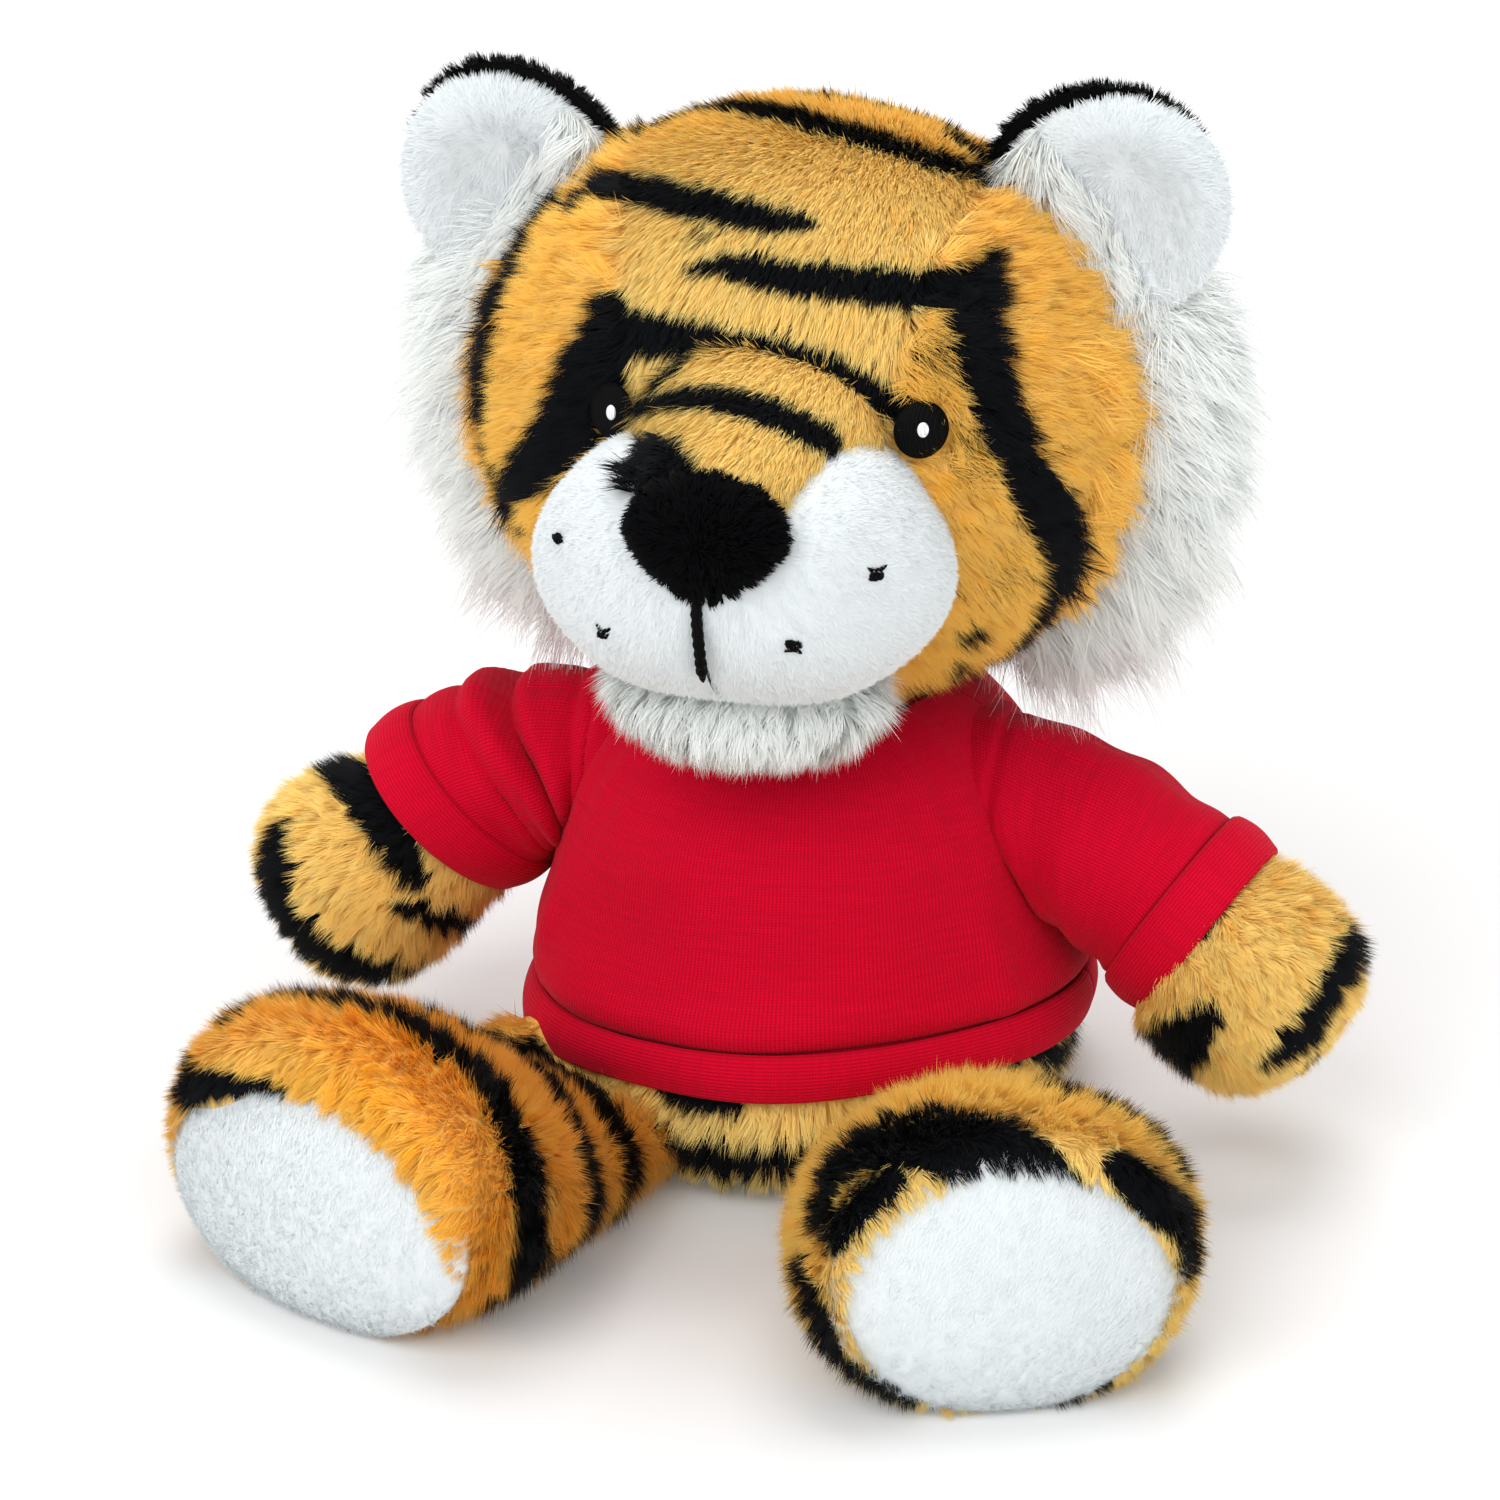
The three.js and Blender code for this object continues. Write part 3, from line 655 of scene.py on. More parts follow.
HEAD_STRIPES = {
    "crown": [
        (617, 148, 0.8), (669, 117, 2.0), (716, 106, 2.6), (774, 119, 2.7), (826, 132, 2.6),
        (878, 145, 2.5), (931, 164, 2.2), (978, 177, 1.9), (1014, 203, 1.6),
    ],
    "crown_back": [
        (800, 104, 0.9), (837, 96, 1.2), (878, 111, 1.2), (915, 119, 1.1), (946, 132, 1.0), (978, 164, 1.0),
    ],
    "forehead_upper": [
        (591, 211, 2.3), (612, 192, 2.9), (638, 192, 2.9), (685, 203, 2.7), (732, 213, 2.5),
        (774, 221, 2.2), (810, 224, 1.2),
    ],
    "forehead_lower": [
        (690, 271, 0.5), (732, 266, 2.0), (774, 276, 2.4), (826, 281, 2.6), (878, 287, 2.8),
        (920, 292, 3.0), (952, 294, 3.2), (975, 300, 3.6),
    ],
    "cheek_left": [
        (988, 258, 1.0), (978, 289, 3.6), (968, 315, 4.4), (978, 352, 4.2), (988, 394, 3.6),
        (1004, 436, 3.4), (1020, 478, 3.6), (1046, 514, 4.2), (1051, 551, 3.9), (1035, 593, 3.5),
        (1009, 634, 3.2), (983, 666, 2.8), (950, 690, 2.0),
    ],
    "brow": [
        (617, 310, 2.5), (633, 331, 3.6), (669, 335, 3.0), (711, 340, 2.5), (753, 347, 2.2),
        (795, 356, 2.2), (837, 370, 2.3), (868, 389, 2.4), (894, 408, 2.3),
    ],
    "cheek_right": [
        (622, 326, 3.4), (602, 373, 5.4), (588, 415, 5.8), (562, 446, 4.6), (530, 477, 2.8),
        (523, 509, 1.8),
    ],
    "jaw_upper": [(963, 619, 1.9), (966, 624, 1.7)],
    "jaw_lower": [(947, 648, 1.3), (951, 652, 1.2)],
    "jaw_edge": [(905, 687, 1.6), (930, 676, 1.4)],
}
# At the head's right edge and above the ears, as angles round from the face and up, and half widths
HEAD_SIDE_STRIPES = [
    [
        (-84, 42, 2.2), (-81, 34, 4.0), (-77, 27, 5.4), (-74, 20, 6.0), (-72, 13, 6.0), (-70, 6, 5.0),
        (-69, 0, 3.2),
    ],
    [(-68, -7, 2.0), (-66, -14, 2.4), (-62, -20, 1.8)],
    [(96, 58, 1.2), (96, 30, 2.6), (96, 0, 3.0), (96, -30, 2.4), (96, -45, 1)],
    [(-100, 55, 1.2), (-100, 25, 2.8), (-100, -5, 3.0), (-100, -34, 1.2)],
]
# Behind the head the photograph shows nothing: bars from both sides, which meet a spine of short ones
HEAD_BACK_BARS = [
    (128, 172, 52, 2.4), (232, 190, 47, 2.4), (120, 168, 30, 2.6), (238, 186, 24, 2.7),
    (122, 172, 6, 2.6), (240, 188, 0, 2.5), (124, 166, -18, 2.3), (236, 192, -24, 2.3),
    (100, 104, 58, 2.2), (258, 256, 52, 2.2),
]


def head_place(azimuth, elevation):
    """A place on the head at an angle round from the face, towards its own left, and up."""
    a, e = math.radians(azimuth), math.radians(elevation)
    way = np.array((math.sin(a) * math.cos(e), -math.cos(a) * math.cos(e), math.sin(e)))
    return head_centre + way / np.linalg.norm(way / head_half)


muzzle_low, muzzle_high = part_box("muzzle_left")
muzzle_half = np.array((muzzle_high[0], 27 * MM, 22 * MM))
muzzle_centre = np.array((0, muzzle_low[1] + muzzle_half[1], muzzle_low[2] + muzzle_half[2]))
bridge_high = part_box("bridge_panel")[1]
bridge_half = np.array((bridge_high[0], 32 * MM, 14.5 * MM))
bridge_centre = np.array((0, head_centre[1] - 40 * MM, bridge_high[2] - bridge_half[2] + 0.5 * MM))
nose_centre, nose_half = middle_of("nose"), size_of("nose") / 2

head_oval = Oval(head_centre, head_half)
muzzle_oval = Oval(muzzle_centre, muzzle_half)
bridge_oval = Oval(bridge_centre, bridge_half)
nose_oval = Oval(nose_centre, nose_half)
# Each eye's place is shifted across, back and up, and its glint across, to where the photograph shows them
EYE_SHIFTS = {"left": (1.4 * MM, 0, 1.6 * MM), "right": (2.6 * MM, -1.2 * MM, 0.2 * MM)}
GLINT_SHIFTS = {"left": -0.4 * MM, "right": 1.6 * MM}
eye_places = {side: middle_of(f"eye_{side}") + EYE_SHIFTS[side] for side in SIDES}

EYE_HOLLOW = 2.8 * MM
EYE_HOLLOW_WIDTH = 9 * MM
PANEL_EDGE_SHARE = 0.4
CHEEK_DEPTH = 8 * MM


def forehead_share(p):
    """1 on the forehead panel between the two seams, and 0 on the side panels."""
    q = (p - head_centre) / head_half
    half_panel = PANEL_EDGE_SHARE + 0.16 * np.clip(q[:, 2], 0, 1) - 0.08 * np.clip(-q[:, 1], 0, 1)
    inside = smooth_step(0.02, -0.02, np.abs(q[:, 0]) - half_panel)
    return inside * smooth_step(0.75, 0.6, q[:, 1]) * smooth_step(-0.05, 0.1, q[:, 2])


def seam_depth(p):
    """1 on the two seams beside the forehead panel."""
    share = forehead_share(p)
    return 4 * share * (1 - share)


def make_head():
    """A ball drawn out to the bridge, with hollows for the eyes and along the two seams."""
    skin = stuffed_ball("head_skin", head_centre, head_half, materials["tiger"])
    p, n = points_of(skin), normals_of(skin)
    p = ease_into(p, n, bridge_oval, 8 * MM)
    for eye in eye_places.values():
        p -= n * (EYE_HOLLOW * hump(np.linalg.norm(p - eye, axis=1), 0, EYE_HOLLOW_WIDTH))[:, None]
    p -= n * (0.9 * MM * seam_depth(p))[:, None]
    p += n * (0.7 * MM * waves(p, 38 * MM, 3))[:, None]
    put_points(skin, p)
    return skin


def head_comb(p):
    """Down the forehead to the nose, and outwards and back over the cheeks and the back of the head."""
    q = (p - head_centre) / head_half
    front = forehead_share(p)[:, None]
    sideways = vectors(0.55 * np.sign(q[:, 0]), 0.75, -0.55)
    forward = vectors(-0.12 + 0.35 * q[:, 0], -1, -0.6)
    cheek = vectors(0.9 * np.sign(q[:, 0]), 0.25, -0.65)
    near_face = smooth_step(0.1, -0.4, q[:, 1])[:, None]
    side = near_face * cheek + (1 - near_face) * sideways
    return front * forward + (1 - front) * side


def clear_of_eyes(p):
    away = np.ones(len(p), bool)
    for eye in eye_places.values():
        away &= np.linalg.norm((p - eye) * (1, 0.5, 1), axis=1) > 4.7 * MM
    return away


def clear_of_face(p):
    """True where the head's pile isn't covered by another piece of the face."""
    return (muzzle_oval.distance(p) > -1.2 * MM) & (bridge_oval.distance(p) > -2.5 * MM) & clear_of_eyes(p)


head_skin = make_head()
head_tree = tree_of(head_skin)
head_stripes = [seen_on(head_tree, rows) for rows in HEAD_STRIPES.values()]
head_stripes += back_bars(HEAD_BACK_BARS, head_place, 6, 0.75)
for rows in HEAD_SIDE_STRIPES:
    head_stripes.append([(*head_place(around, up), half_width * MM) for around, up, half_width in rows])


def head_tone(p):
    front = forehead_share(p) * smooth_step(0.75, -0.2, (p[:, 1] - head_centre[1]) / head_half[1])
    return 0.08 * front + 0.6 * (1 - front)


dress_skin(head_skin, "head", "tiger", ["head_cover"], head_stripes, head_tone)


# Ticked patches, where the print half takes: pixel, reach in millimetres and share of dark strands
HEAD_SMUDGES = [
    (940, 350, 5, 0.35), (985, 440, 6, 0.35), (545, 215, 5, 0.4), (702, 236, 2, 0.5), (1000, 560, 6, 0.2),
]


def smudged_face(p):
    share = np.zeros(len(p))
    for x, y, reach, strength in HEAD_SMUDGES:
        place = np.array(seen_on(head_tree, [(x, y, 0)])[0][:3])
        share += strength * hump(np.linalg.norm(p - place, axis=1), 0, reach * MM)
    return share


head_pile_common = dict(
    skin=head_skin, body="head", kind="tiger", comb=head_comb, stripes=head_stripes, tone=head_tone,
    smudge=smudged_face,
)
grow_pile(
    "forehead_pile", length=5, lean=(48, 78), seed=11, density=17, width=0.27, gather=0.12, stray=0.1,
    tuft=24, keep=lambda p: clear_of_face(p) & (forehead_share(p) > 0.5), **head_pile_common,
)


def side_panel(p, turn):
    """True on the side panel at the side that turn says, 1 at the left and -1 at the right."""
    return (forehead_share(p) <= 0.5) & (p[:, 0] * turn > 0)


def cheek_edge(p, turn):
    """True where the cheek's longer tufts fall over the ruff."""
    beside = (p[:, 0] * turn > head_half[0] * 0.8) & (np.abs(p[:, 1] - head_centre[1] + 9 * MM) < 11 * MM)
    return beside & (p[:, 2] < head_centre[2] + 22 * MM) & (p[:, 2] > head_centre[2] - 30 * MM)


for side, turn in SIDES.items():
    seed = 12 if side == "left" else 13
    grow_pile(
        f"cheek_{side}_pile", length=6.4, lean=(26, 62), seed=seed, density=18, width=0.23, gather=0.36,
        stray=0.42, tuft=44,
        keep=lambda p: clear_of_face(p) & side_panel(p, turn) & (p[:, 1] < head_centre[1] + CHEEK_DEPTH),
        **head_pile_common,
    )
    grow_pile(
        f"head_back_{side}_pile", length=6.2, lean=(30, 68), seed=seed + 2, density=9, width=0.34, gather=0.4,
        stray=0.35, tuft=40,
        keep=lambda p: side_panel(p, turn) & (p[:, 1] >= head_centre[1] + CHEEK_DEPTH), **head_pile_common,
    )
for side, turn in SIDES.items():
    grow_pile(
        f"cheek_{side}_tufts", length=9.5, lean=(34, 66), seed=16 if side == "left" else 17, density=5,
        width=0.25, gather=0.85, stray=0.6, tuft=42, joints=2, droop=0.1,
        keep=lambda p: cheek_edge(p, turn), **head_pile_common,
    )

# Bridge panel between the forehead and the nose


BRIDGE_FLARE = {"left": 0.34, "right": 0.2}
BRIDGE_RISE = 3.4 * MM


def make_bridge():
    """A long bulge from the nose that widens and rises where it runs into the forehead."""
    skin = stuffed_ball("bridge_skin", bridge_centre, bridge_half, materials["tiger"])
    p = points_of(skin)
    back = smooth_step(-0.85, 0.1, (p[:, 1] - bridge_centre[1]) / bridge_half[1])
    p[:, 0] *= 1 + np.where(p[:, 0] > 0, *BRIDGE_FLARE.values()) * back
    p[:, 2] += BRIDGE_RISE * back
    put_points(skin, p)
    p = ease_into(p, normals_of(skin), head_oval, 8 * MM)
    put_points(skin, p)
    return skin


BRIDGE_STRIPES = {
    "bar": [
        (643, 409, 1.7), (680, 402, 2.3), (711, 400, 2.5), (753, 410, 2.7), (795, 425, 2.7),
        (826, 440, 2.4), (831, 467, 0.7),
    ],
    "tuft": [(612, 474, 2.6), (638, 458, 3.6), (668, 462, 3.2), (692, 478, 1.8)],
}
bridge_skin = make_bridge()
bridge_tree = tree_of(bridge_skin)
bridge_stripes = [seen_on(bridge_tree, rows) for rows in BRIDGE_STRIPES.values()]
bridge_stripes.append(seen_on(bridge_tree, HEAD_STRIPES["brow"]))
dress_skin(bridge_skin, "head", "tiger", ["bridge_panel"], bridge_stripes, 0.02)
grow_pile(
    "bridge_pile", skin=bridge_skin, body="head", kind="tiger",
    keep=lambda p: (head_oval.distance(p) > 0) & (muzzle_oval.distance(p) > -0.5 * MM)
    & (nose_oval.distance(p) > 0.4 * MM) & clear_of_eyes(p),
    comb=lambda p: np.array((-0.25, -1, -0.45)) + (p - bridge_centre) * 18,
    length=lambda p: 5 - 2.2 * smooth_step(4 * MM, 0.5 * MM, nose_oval.distance(p)), lean=(56, 84), seed=21,
    density=17, width=0.27, gather=0.12, stray=0.12, tuft=16, stripes=bridge_stripes, tone=0.04,
)

# Muzzle pads, chin and nose


def pad_comb(p):
    """Away from the nose and down, and across the seam between the pads below the mouth."""
    below = smooth_step(-10 * MM, -15 * MM, p[:, 2] - muzzle_centre[2])
    closing = -np.sign(p[:, 0]) * 30 * MM * hump(p[:, 0], 0, 2 * MM) * below
    return (p - nose_centre) * (1, 0.6, 1) - 6 * MM * UP + vectors(closing, 0, 0)


PAD_GROOVE = 1.6 * MM
PAD_SWELL = 1 * MM
PAD_CORNER_RISE = {"left": 3.6 * MM, "right": 1.4 * MM}
muzzle_skins = {}


def make_pad(side, seed):
    """One muzzle pad: half of a round muzzle, cut at the middle, with its pile."""
    turn = SIDES[side]
    skin = stuffed_ball(f"muzzle_{side}_skin", muzzle_centre, muzzle_half, materials["white"])
    p, n = points_of(skin), normals_of(skin)
    low = p[:, 2] - muzzle_centre[2]
    groove = hump(p[:, 0], 0, 3 * MM) * smooth_step(6 * MM, -4 * MM, low)
    groove *= smooth_step(-19 * MM, -12 * MM, low)
    p -= n * (PAD_GROOVE * groove)[:, None]
    p += n * (PAD_SWELL * hump(np.abs(p[:, 0]), 17 * MM, 9 * MM))[:, None]
    above = smooth_step(-2 * MM, 14 * MM, p[:, 2] - muzzle_centre[2])
    p[:, 2] += PAD_CORNER_RISE[side] * hump(np.abs(p[:, 0]), 22 * MM, 10 * MM) * above
    p[:, 0] = turn * np.maximum(turn * p[:, 0], 0.02 * MM)
    put_points(skin, p)
    muzzle_skins[side] = skin
    dress_skin(skin, "head", "white", [f"muzzle_{side}"])
    grow_pile(
        f"muzzle_{side}_pile", skin=skin, body="head", kind="white",
        keep=lambda p: (head_oval.distance(p) > -1 * MM) & (bridge_oval.distance(p) > -0.5 * MM)
        & (turn * p[:, 0] > 0.1 * MM) & (nose_oval.distance(p) > 0),
        comb=pad_comb, length=1.6, width=0.22, lean=(45, 76), seed=seed, density=13, gather=0.2, stray=0.25,
        tuft=26, softness=0.92,
    )


make_pad("left", 31)
make_pad("right", 32)
muzzle_form = stuffed_ball("muzzle_form", muzzle_centre, muzzle_half, materials["white"])
muzzle_tree = tree_of(muzzle_form)
bpy.data.objects.remove(muzzle_form)

# A black tuft of the bridge's pile hangs over the right pad beside the nose
for name, skin, surface, middle, reach, seed in (
    ("nose_tuft", bridge_skin, bridge_tree, (656, 467, 0), 5.2 * MM, 22),
    ("nose_tuft_side", muzzle_skins["right"], muzzle_tree, (644, 482, 0), 3.4 * MM, 23),
):
    tuft_middle = np.array(seen_on(surface, [middle])[0][:3])
    grow_pile(
        name, skin=skin, body="head", kind="tiger",
        keep=lambda p: np.linalg.norm(p - tuft_middle, axis=1) < reach,
        comb=np.array((-1, -0.3, -0.4)), length=5.5, lean=(26, 64), seed=seed, density=12, width=0.24,
        gather=0.45, stray=0.5, tuft=20, joints=2, smudge=lambda p: np.ones(len(p)),
    )

chin_centre = middle_of("chin") + np.array((0, 2, 2)) * MM
chin_skin = stuffed_ball("chin_skin", chin_centre, size_of("chin") * (0.47, 0.45, 0.55), materials["long"], 4)
dress_skin(chin_skin, "head", "long", ["chin"], tone=0.1)
grow_pile(
    "chin_pile", skin=chin_skin, body="head", kind="long",
    keep=lambda p: (muzzle_oval.distance(p) > -2 * MM) & (head_oval.distance(p) > -3 * MM),
    comb=lambda p: vectors(8 * p[:, 0], -0.45, -0.6), length=6.4, width=0.22, lean=(28, 60), seed=33,
    density=13, gather=0.42, stray=0.48, tuft=40, joints=2, droop=0.06,
)


def make_nose():
    """A rounded triangle, wide above and narrow below."""
    skin = stuffed_ball("nose_skin", nose_centre, nose_half, materials["black"], 4)
    p = points_of(skin)
    q = (p - nose_centre) / nose_half
    p[:, 0] = nose_centre[0] + (p[:, 0] - nose_centre[0]) * (0.92 + 0.2 * q[:, 2] - 0.2 * q[:, 2] ** 2)
    p[:, 1] -= 0.6 * MM * hump(q[:, 2], 0.2, 0.5)
    put_points(skin, p)
    return skin


nose_skin = make_nose()
dress_skin(nose_skin, "head", "black", ["nose"], tone=0.2)
grow_pile(
    "nose_pile", skin=nose_skin, body="head", kind="black",
    keep=lambda p: p[:, 1] < nose_centre[1] + 5 * MM,
    comb=lambda p: (p - nose_centre) * (1, 0.3, 1) - 1 * MM * UP, length=2.4, width=0.38, lean=(20, 60),
    seed=34, density=9, gather=0.4, stray=0.5, tuft=22, joints=2, tone=0.1,
)

# Embroidered eyes, mouth and whisker marks


GLINT_HALF = (1.05 * MM, 0.5 * MM, 1.3 * MM)


def make_eye(side):
    """An oval of black stitches that faces outwards, with a white glint on it."""
    centre = eye_places[side]
    outward = unit((centre - head_centre) * (1, 1, 0.6))
    across = unit(np.cross(UP, outward))
    rise = np.cross(outward, across)
    seat = centre + outward * 0.7 * MM
    spark = seat + outward * 1.75 * MM + across * GLINT_SHIFTS[side] + rise * 0.4 * MM
    eye_half = (4.9 * MM, 1.9 * MM, size_of(f"eye_{side}")[2] / 2 * 1.02)
    for stem, half, middle, thread_kind, slot, detail, node in (
        ("stitching", eye_half, seat, "thread", "black_thread", 4, f"eye_{side}"),
        ("glint_stitching", GLINT_HALF, spark, "glint", "white_thread", 3, f"eye_glint_{side}"),
    ):
        piece = stuffed_ball(f"eye_{side}_{stem}", (0, 0, 0), half, materials[thread_kind], detail)
        put_points(piece, points_of(piece) @ np.stack((across, -outward, rise)) + middle)
        fit(piece, slot, "head", node)


for side in SIDES:
    make_eye(side)


def thread(name, path, radius, replaced):
    """A raised line of stitches along a path: a thick twisted thread with tapered ends."""
    places = spline(path, 40)
    along = unit(np.gradient(places, axis=0))
    first = unit(np.cross(along, UP + 1e-3))
    share = np.linspace(0, 1, len(places))
    thick = radius * np.minimum(1, 6 * np.minimum(share, 1 - share) + 0.15) * (1 + 0.12 * np.cos(share * 60))
    rings = round_tube(places, first, np.cross(along, first), thick, 12)
    fit(skin_of_rings(name, rings, materials["thread"]), "black_thread", "head", replaced)


def on_pads(places, lift):
    """Places on the muzzle pads under pixels of the photograph, raised by lift."""
    raised = []
    for x, y, z, _ in seen_on(muzzle_tree, [(px, py, 0) for px, py in places]):
        place = Vector((x, y, z))
        _, normal, _, _ = muzzle_tree.find_nearest(place)
        raised.append(place + (normal if normal.y < 0 else -normal) * lift)
    return np.array(raised)


MOUTH_LINE = [(697, 594), (698, 625), (701, 655), (704, 680)]
thread("mouth_thread", on_pads(MOUTH_LINE, 0.6 * MM), 0.95 * MM, "mouth_stitch")
WHISKER_KNOTS = {
    "right_upper": [(558, 536), (564, 543), (563, 537), (568, 544)],
    "right_lower": [(600, 620), (611, 631), (604, 630), (615, 625)],
    "left_upper": [(862, 568), (878, 576), (868, 578), (884, 566)],
    "left_lower": [(783, 648), (799, 641), (787, 640), (802, 650)],
}
for spot, knots in WHISKER_KNOTS.items():
    thread(f"whisker_thread_{spot}", on_pads(knots, 1.2 * MM), 0.55 * MM, f"whisker_stitch_{spot}")

# Ears


EAR_HALF = np.array((19, 5.5, 20.5)) * MM
EAR_CUP = 3 * MM


def make_ear(side):
    """A cupped ear of two covers: a dished white front, and a black back set a little inwards."""
    turn = SIDES[side]
    boxes = np.array([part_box(f"ear_{side}_{face}") for face in ("front", "back")])
    centre = (boxes[:, 0].min(0) + boxes[:, 1].max(0)) / 2
    lean = unit((centre - head_centre) * (1, 0, 1))
    outward = turn * np.array((lean[2], 0, -lean[0]))
    ear_axes = np.stack((outward, (0, 1.0, 0), lean))

    def cup(x):
        return -EAR_CUP * (x / EAR_HALF[0]) ** 2

    for face, kind, seed in (("front", "white", 41), ("back", "black", 45)):
        skin = stuffed_ball(f"ear_{side}_{face}_skin", (0, 0, 0), EAR_HALF, materials[kind], detail=4)
        p = points_of(skin)
        if face == "front":
            dish = np.hypot(p[:, 0] - 1.5 * MM, p[:, 2] - 1.5 * MM) / EAR_HALF[0]
            p[:, 1] = np.where(p[:, 1] < 0, p[:, 1] + 3.6 * MM * smooth_step(0.85, 0.2, dish), -0.2 * MM)
        else:
            p[:, 1] = np.maximum(p[:, 1], 0.2 * MM) * 1.15
            p[:, 0] = p[:, 0] * 0.96 - 3.8 * MM
            p[:, 2] = p[:, 2] * 0.97 + (-0.8 if side == "left" else 0.3) * MM
        p[:, 1] += cup(p[:, 0])
        put_points(skin, p @ ear_axes + centre)
        tidy(skin)
        dress_skin(skin, "head", kind, [f"ear_{side}_{face}"], tone=0.1)

        def keep(q, face=face):
            depth = q[:, 1] - centre[1] - cup((q - centre) @ outward)
            facing = depth < -0.6 * MM if face == "front" else depth > 0.7 * MM
            return facing & (head_oval.distance(q) > -1 * MM)

        grow_pile(
            f"ear_{side}_{face}_pile", skin=skin, body="head", kind=kind, keep=keep,
            comb=lambda q: (q - centre) * (1, 0.1, 1) + (outward - lean) * (5 * MM if face == "front" else 0),
            length=2 if face == "front" else 3, width=0.25, lean=(42, 78), seed=seed + turn, density=12,
            gather=0.22, stray=0.25, tuft=24, tone=0.05, softness=0.9 if face == "front" else SOFTNESS,
        )
        if face == "back":
            continue
        # Long pile runs up from the ruff over the ear's foot
        grow_pile(
            f"ear_{side}_fluff", skin=skin, body="head", kind="long",
            keep=lambda q: keep(q) & ((q - centre) @ lean < -1 * MM), comb=outward - 0.7 * UP,
            length=lambda q: 5 + 5 * smooth_step(-1 * MM, -9 * MM, (q - centre) @ lean), width=0.25,
            lean=(42, 74), seed=seed + 3 * turn, density=9, gather=0.36, stray=0.26, tuft=34, joints=2,
            softness=0.92,
        )


for side in SIDES:
    make_ear(side)

# Ruffs


RUFF_HALF = np.array((18, 9, 36)) * MM
RUFF_SHIFT = {"left": 4 * MM, "right": 1.5 * MM}


def make_ruff(side, seed):
    """A flat oval at the side of the head under long pile, part of which hangs in thick wisps."""
    turn = SIDES[side]
    centre = middle_of(f"ruff_{side}")
    centre[0] = turn * (abs(centre[0]) - RUFF_SHIFT[side])
    centre[2] += 3 * MM
    skin = stuffed_ball(f"ruff_{side}_skin", (0, 0, 0), RUFF_HALF, materials["long"])
    lean = math.radians(-14) * turn
    turned = np.array(((math.cos(lean), 0, math.sin(lean)), (0, 1, 0), (-math.sin(lean), 0, math.cos(lean))))
    put_points(skin, points_of(skin) @ turned + centre)
    dress_skin(skin, "head", "long", [f"ruff_{side}"], tone=0.1)

    def comb(q):
        below = head_centre[2] - q[:, 2]
        drop = -0.5 - 6 * np.clip(below, 0, None) + 8 * np.clip(-below, 0, None)
        return vectors(turn, 0.15, drop)

    grow_pile(
        f"ruff_{side}_pile", skin=skin, body="head", kind="long",
        keep=lambda q: head_oval.distance(q) > -4 * MM, comb=comb, length=12, width=0.3, lean=(36, 70),
        seed=seed, density=5.5, gather=0.55, stray=0.3, tuft=34, joints=3, droop=0.08,
    )
    grow_pile(
        f"ruff_{side}_wisps", skin=skin, body="head", kind="long",
        keep=lambda q: head_oval.distance(q) > 2 * MM, comb=comb, length=16, width=0.24, lean=(26, 62),
        seed=seed + 1, density=2.2, gather=0.92, stray=0.6, tuft=26, joints=4, droop=0.16,
    )


make_ruff("left", 51)
make_ruff("right", 53)

# Body

neck_place = joint_place("head_turn")
NECK_SINK = 2 * MM
body_height = neck_place[2] + NECK_SINK
body_half = size_of("body_cover") / 2
BODY_PROFILE_SHARES = [
    (0, 0), (0.6, 0.004), (0.91, 0.06), (1, 0.18), (1, 0.3), (0.95, 0.47), (0.91, 0.62), (0.83, 0.78),
    (0.66, 0.91), (0.38, 0.98), (0, 1),
]
body_outline = spline(BODY_PROFILE_SHARES, 160) * (1, body_height) * (body_half[0], 1)
BODY_DEEP = body_half[1] / body_half[0]


def round_body(turn, radius, height):
    """Places at angles round from the front and radii to the side, flattened as the body is."""
    return vectors(radius * np.sin(turn), -radius * np.cos(turn) * BODY_DEEP, height)


def moved_out(outline, grow):
    """An outline of radii and heights, moved outwards."""
    along = unit(np.gradient(outline, axis=0))
    return outline + np.stack((along[:, 1], -along[:, 0]), -1) * grow


BODY_STRIPES = {
    "belly": [
        (600, 1092, 1.8), (632, 1116, 2.6), (666, 1134, 3.0), (701, 1148, 3.0), (750, 1156, 3.0),
        (792, 1156, 3.0), (834, 1152, 2.6),
    ],
    "patch": [(664, 1086, 1.8), (690, 1096, 2.3), (738, 1100, 2.0)],
    "hip_left": [(1030, 1052, 1.8), (1060, 1040, 2.2), (1098, 1030, 2.2)],
    "hip_right": [(470, 1003, 1.8), (500, 1000, 2.0), (520, 1003, 1.6)],
}
BODY_SEAM = 1.2 * MM
BELLY_SWELL = 5 * MM


def make_body():
    """A pear with a seam down its front and a belly that swells below the shirt."""
    radii, heights = np.maximum(body_outline[::2, :1], 0), body_outline[::2, 1:]
    rings = round_body(np.linspace(0, FULL_TURN, 120, endpoint=False), radii, heights)
    skin = skin_of_rings("body_skin", rings, materials["tiger"])
    p = points_of(skin)
    p -= normals_of(skin) * (BODY_SEAM * hump(p[:, 0], 0, 2 * MM) * (p[:, 1] < 0))[:, None]
    p[:, 1] -= BELLY_SWELL * hump(p[:, 0], 0, 26 * MM) * smooth_step(34 * MM, 8 * MM, p[:, 2]) * (p[:, 1] < 0)
    p[:, 2] = np.maximum(p[:, 2], 0.4 * MM)
    put_points(skin, p)
    return skin


body_skin = make_body()
body_tree = tree_of(body_skin)
body_stripes = [seen_on(body_tree, rows) for rows in BODY_STRIPES.values()]


def body_place(azimuth, height):
    """A place on the body at an angle round from the front, and at a height in millimetres."""
    radius = np.interp(height, body_outline[:120, 1] / MM, body_outline[:120, 0])
    return round_body(math.radians(azimuth), radius, height * MM)


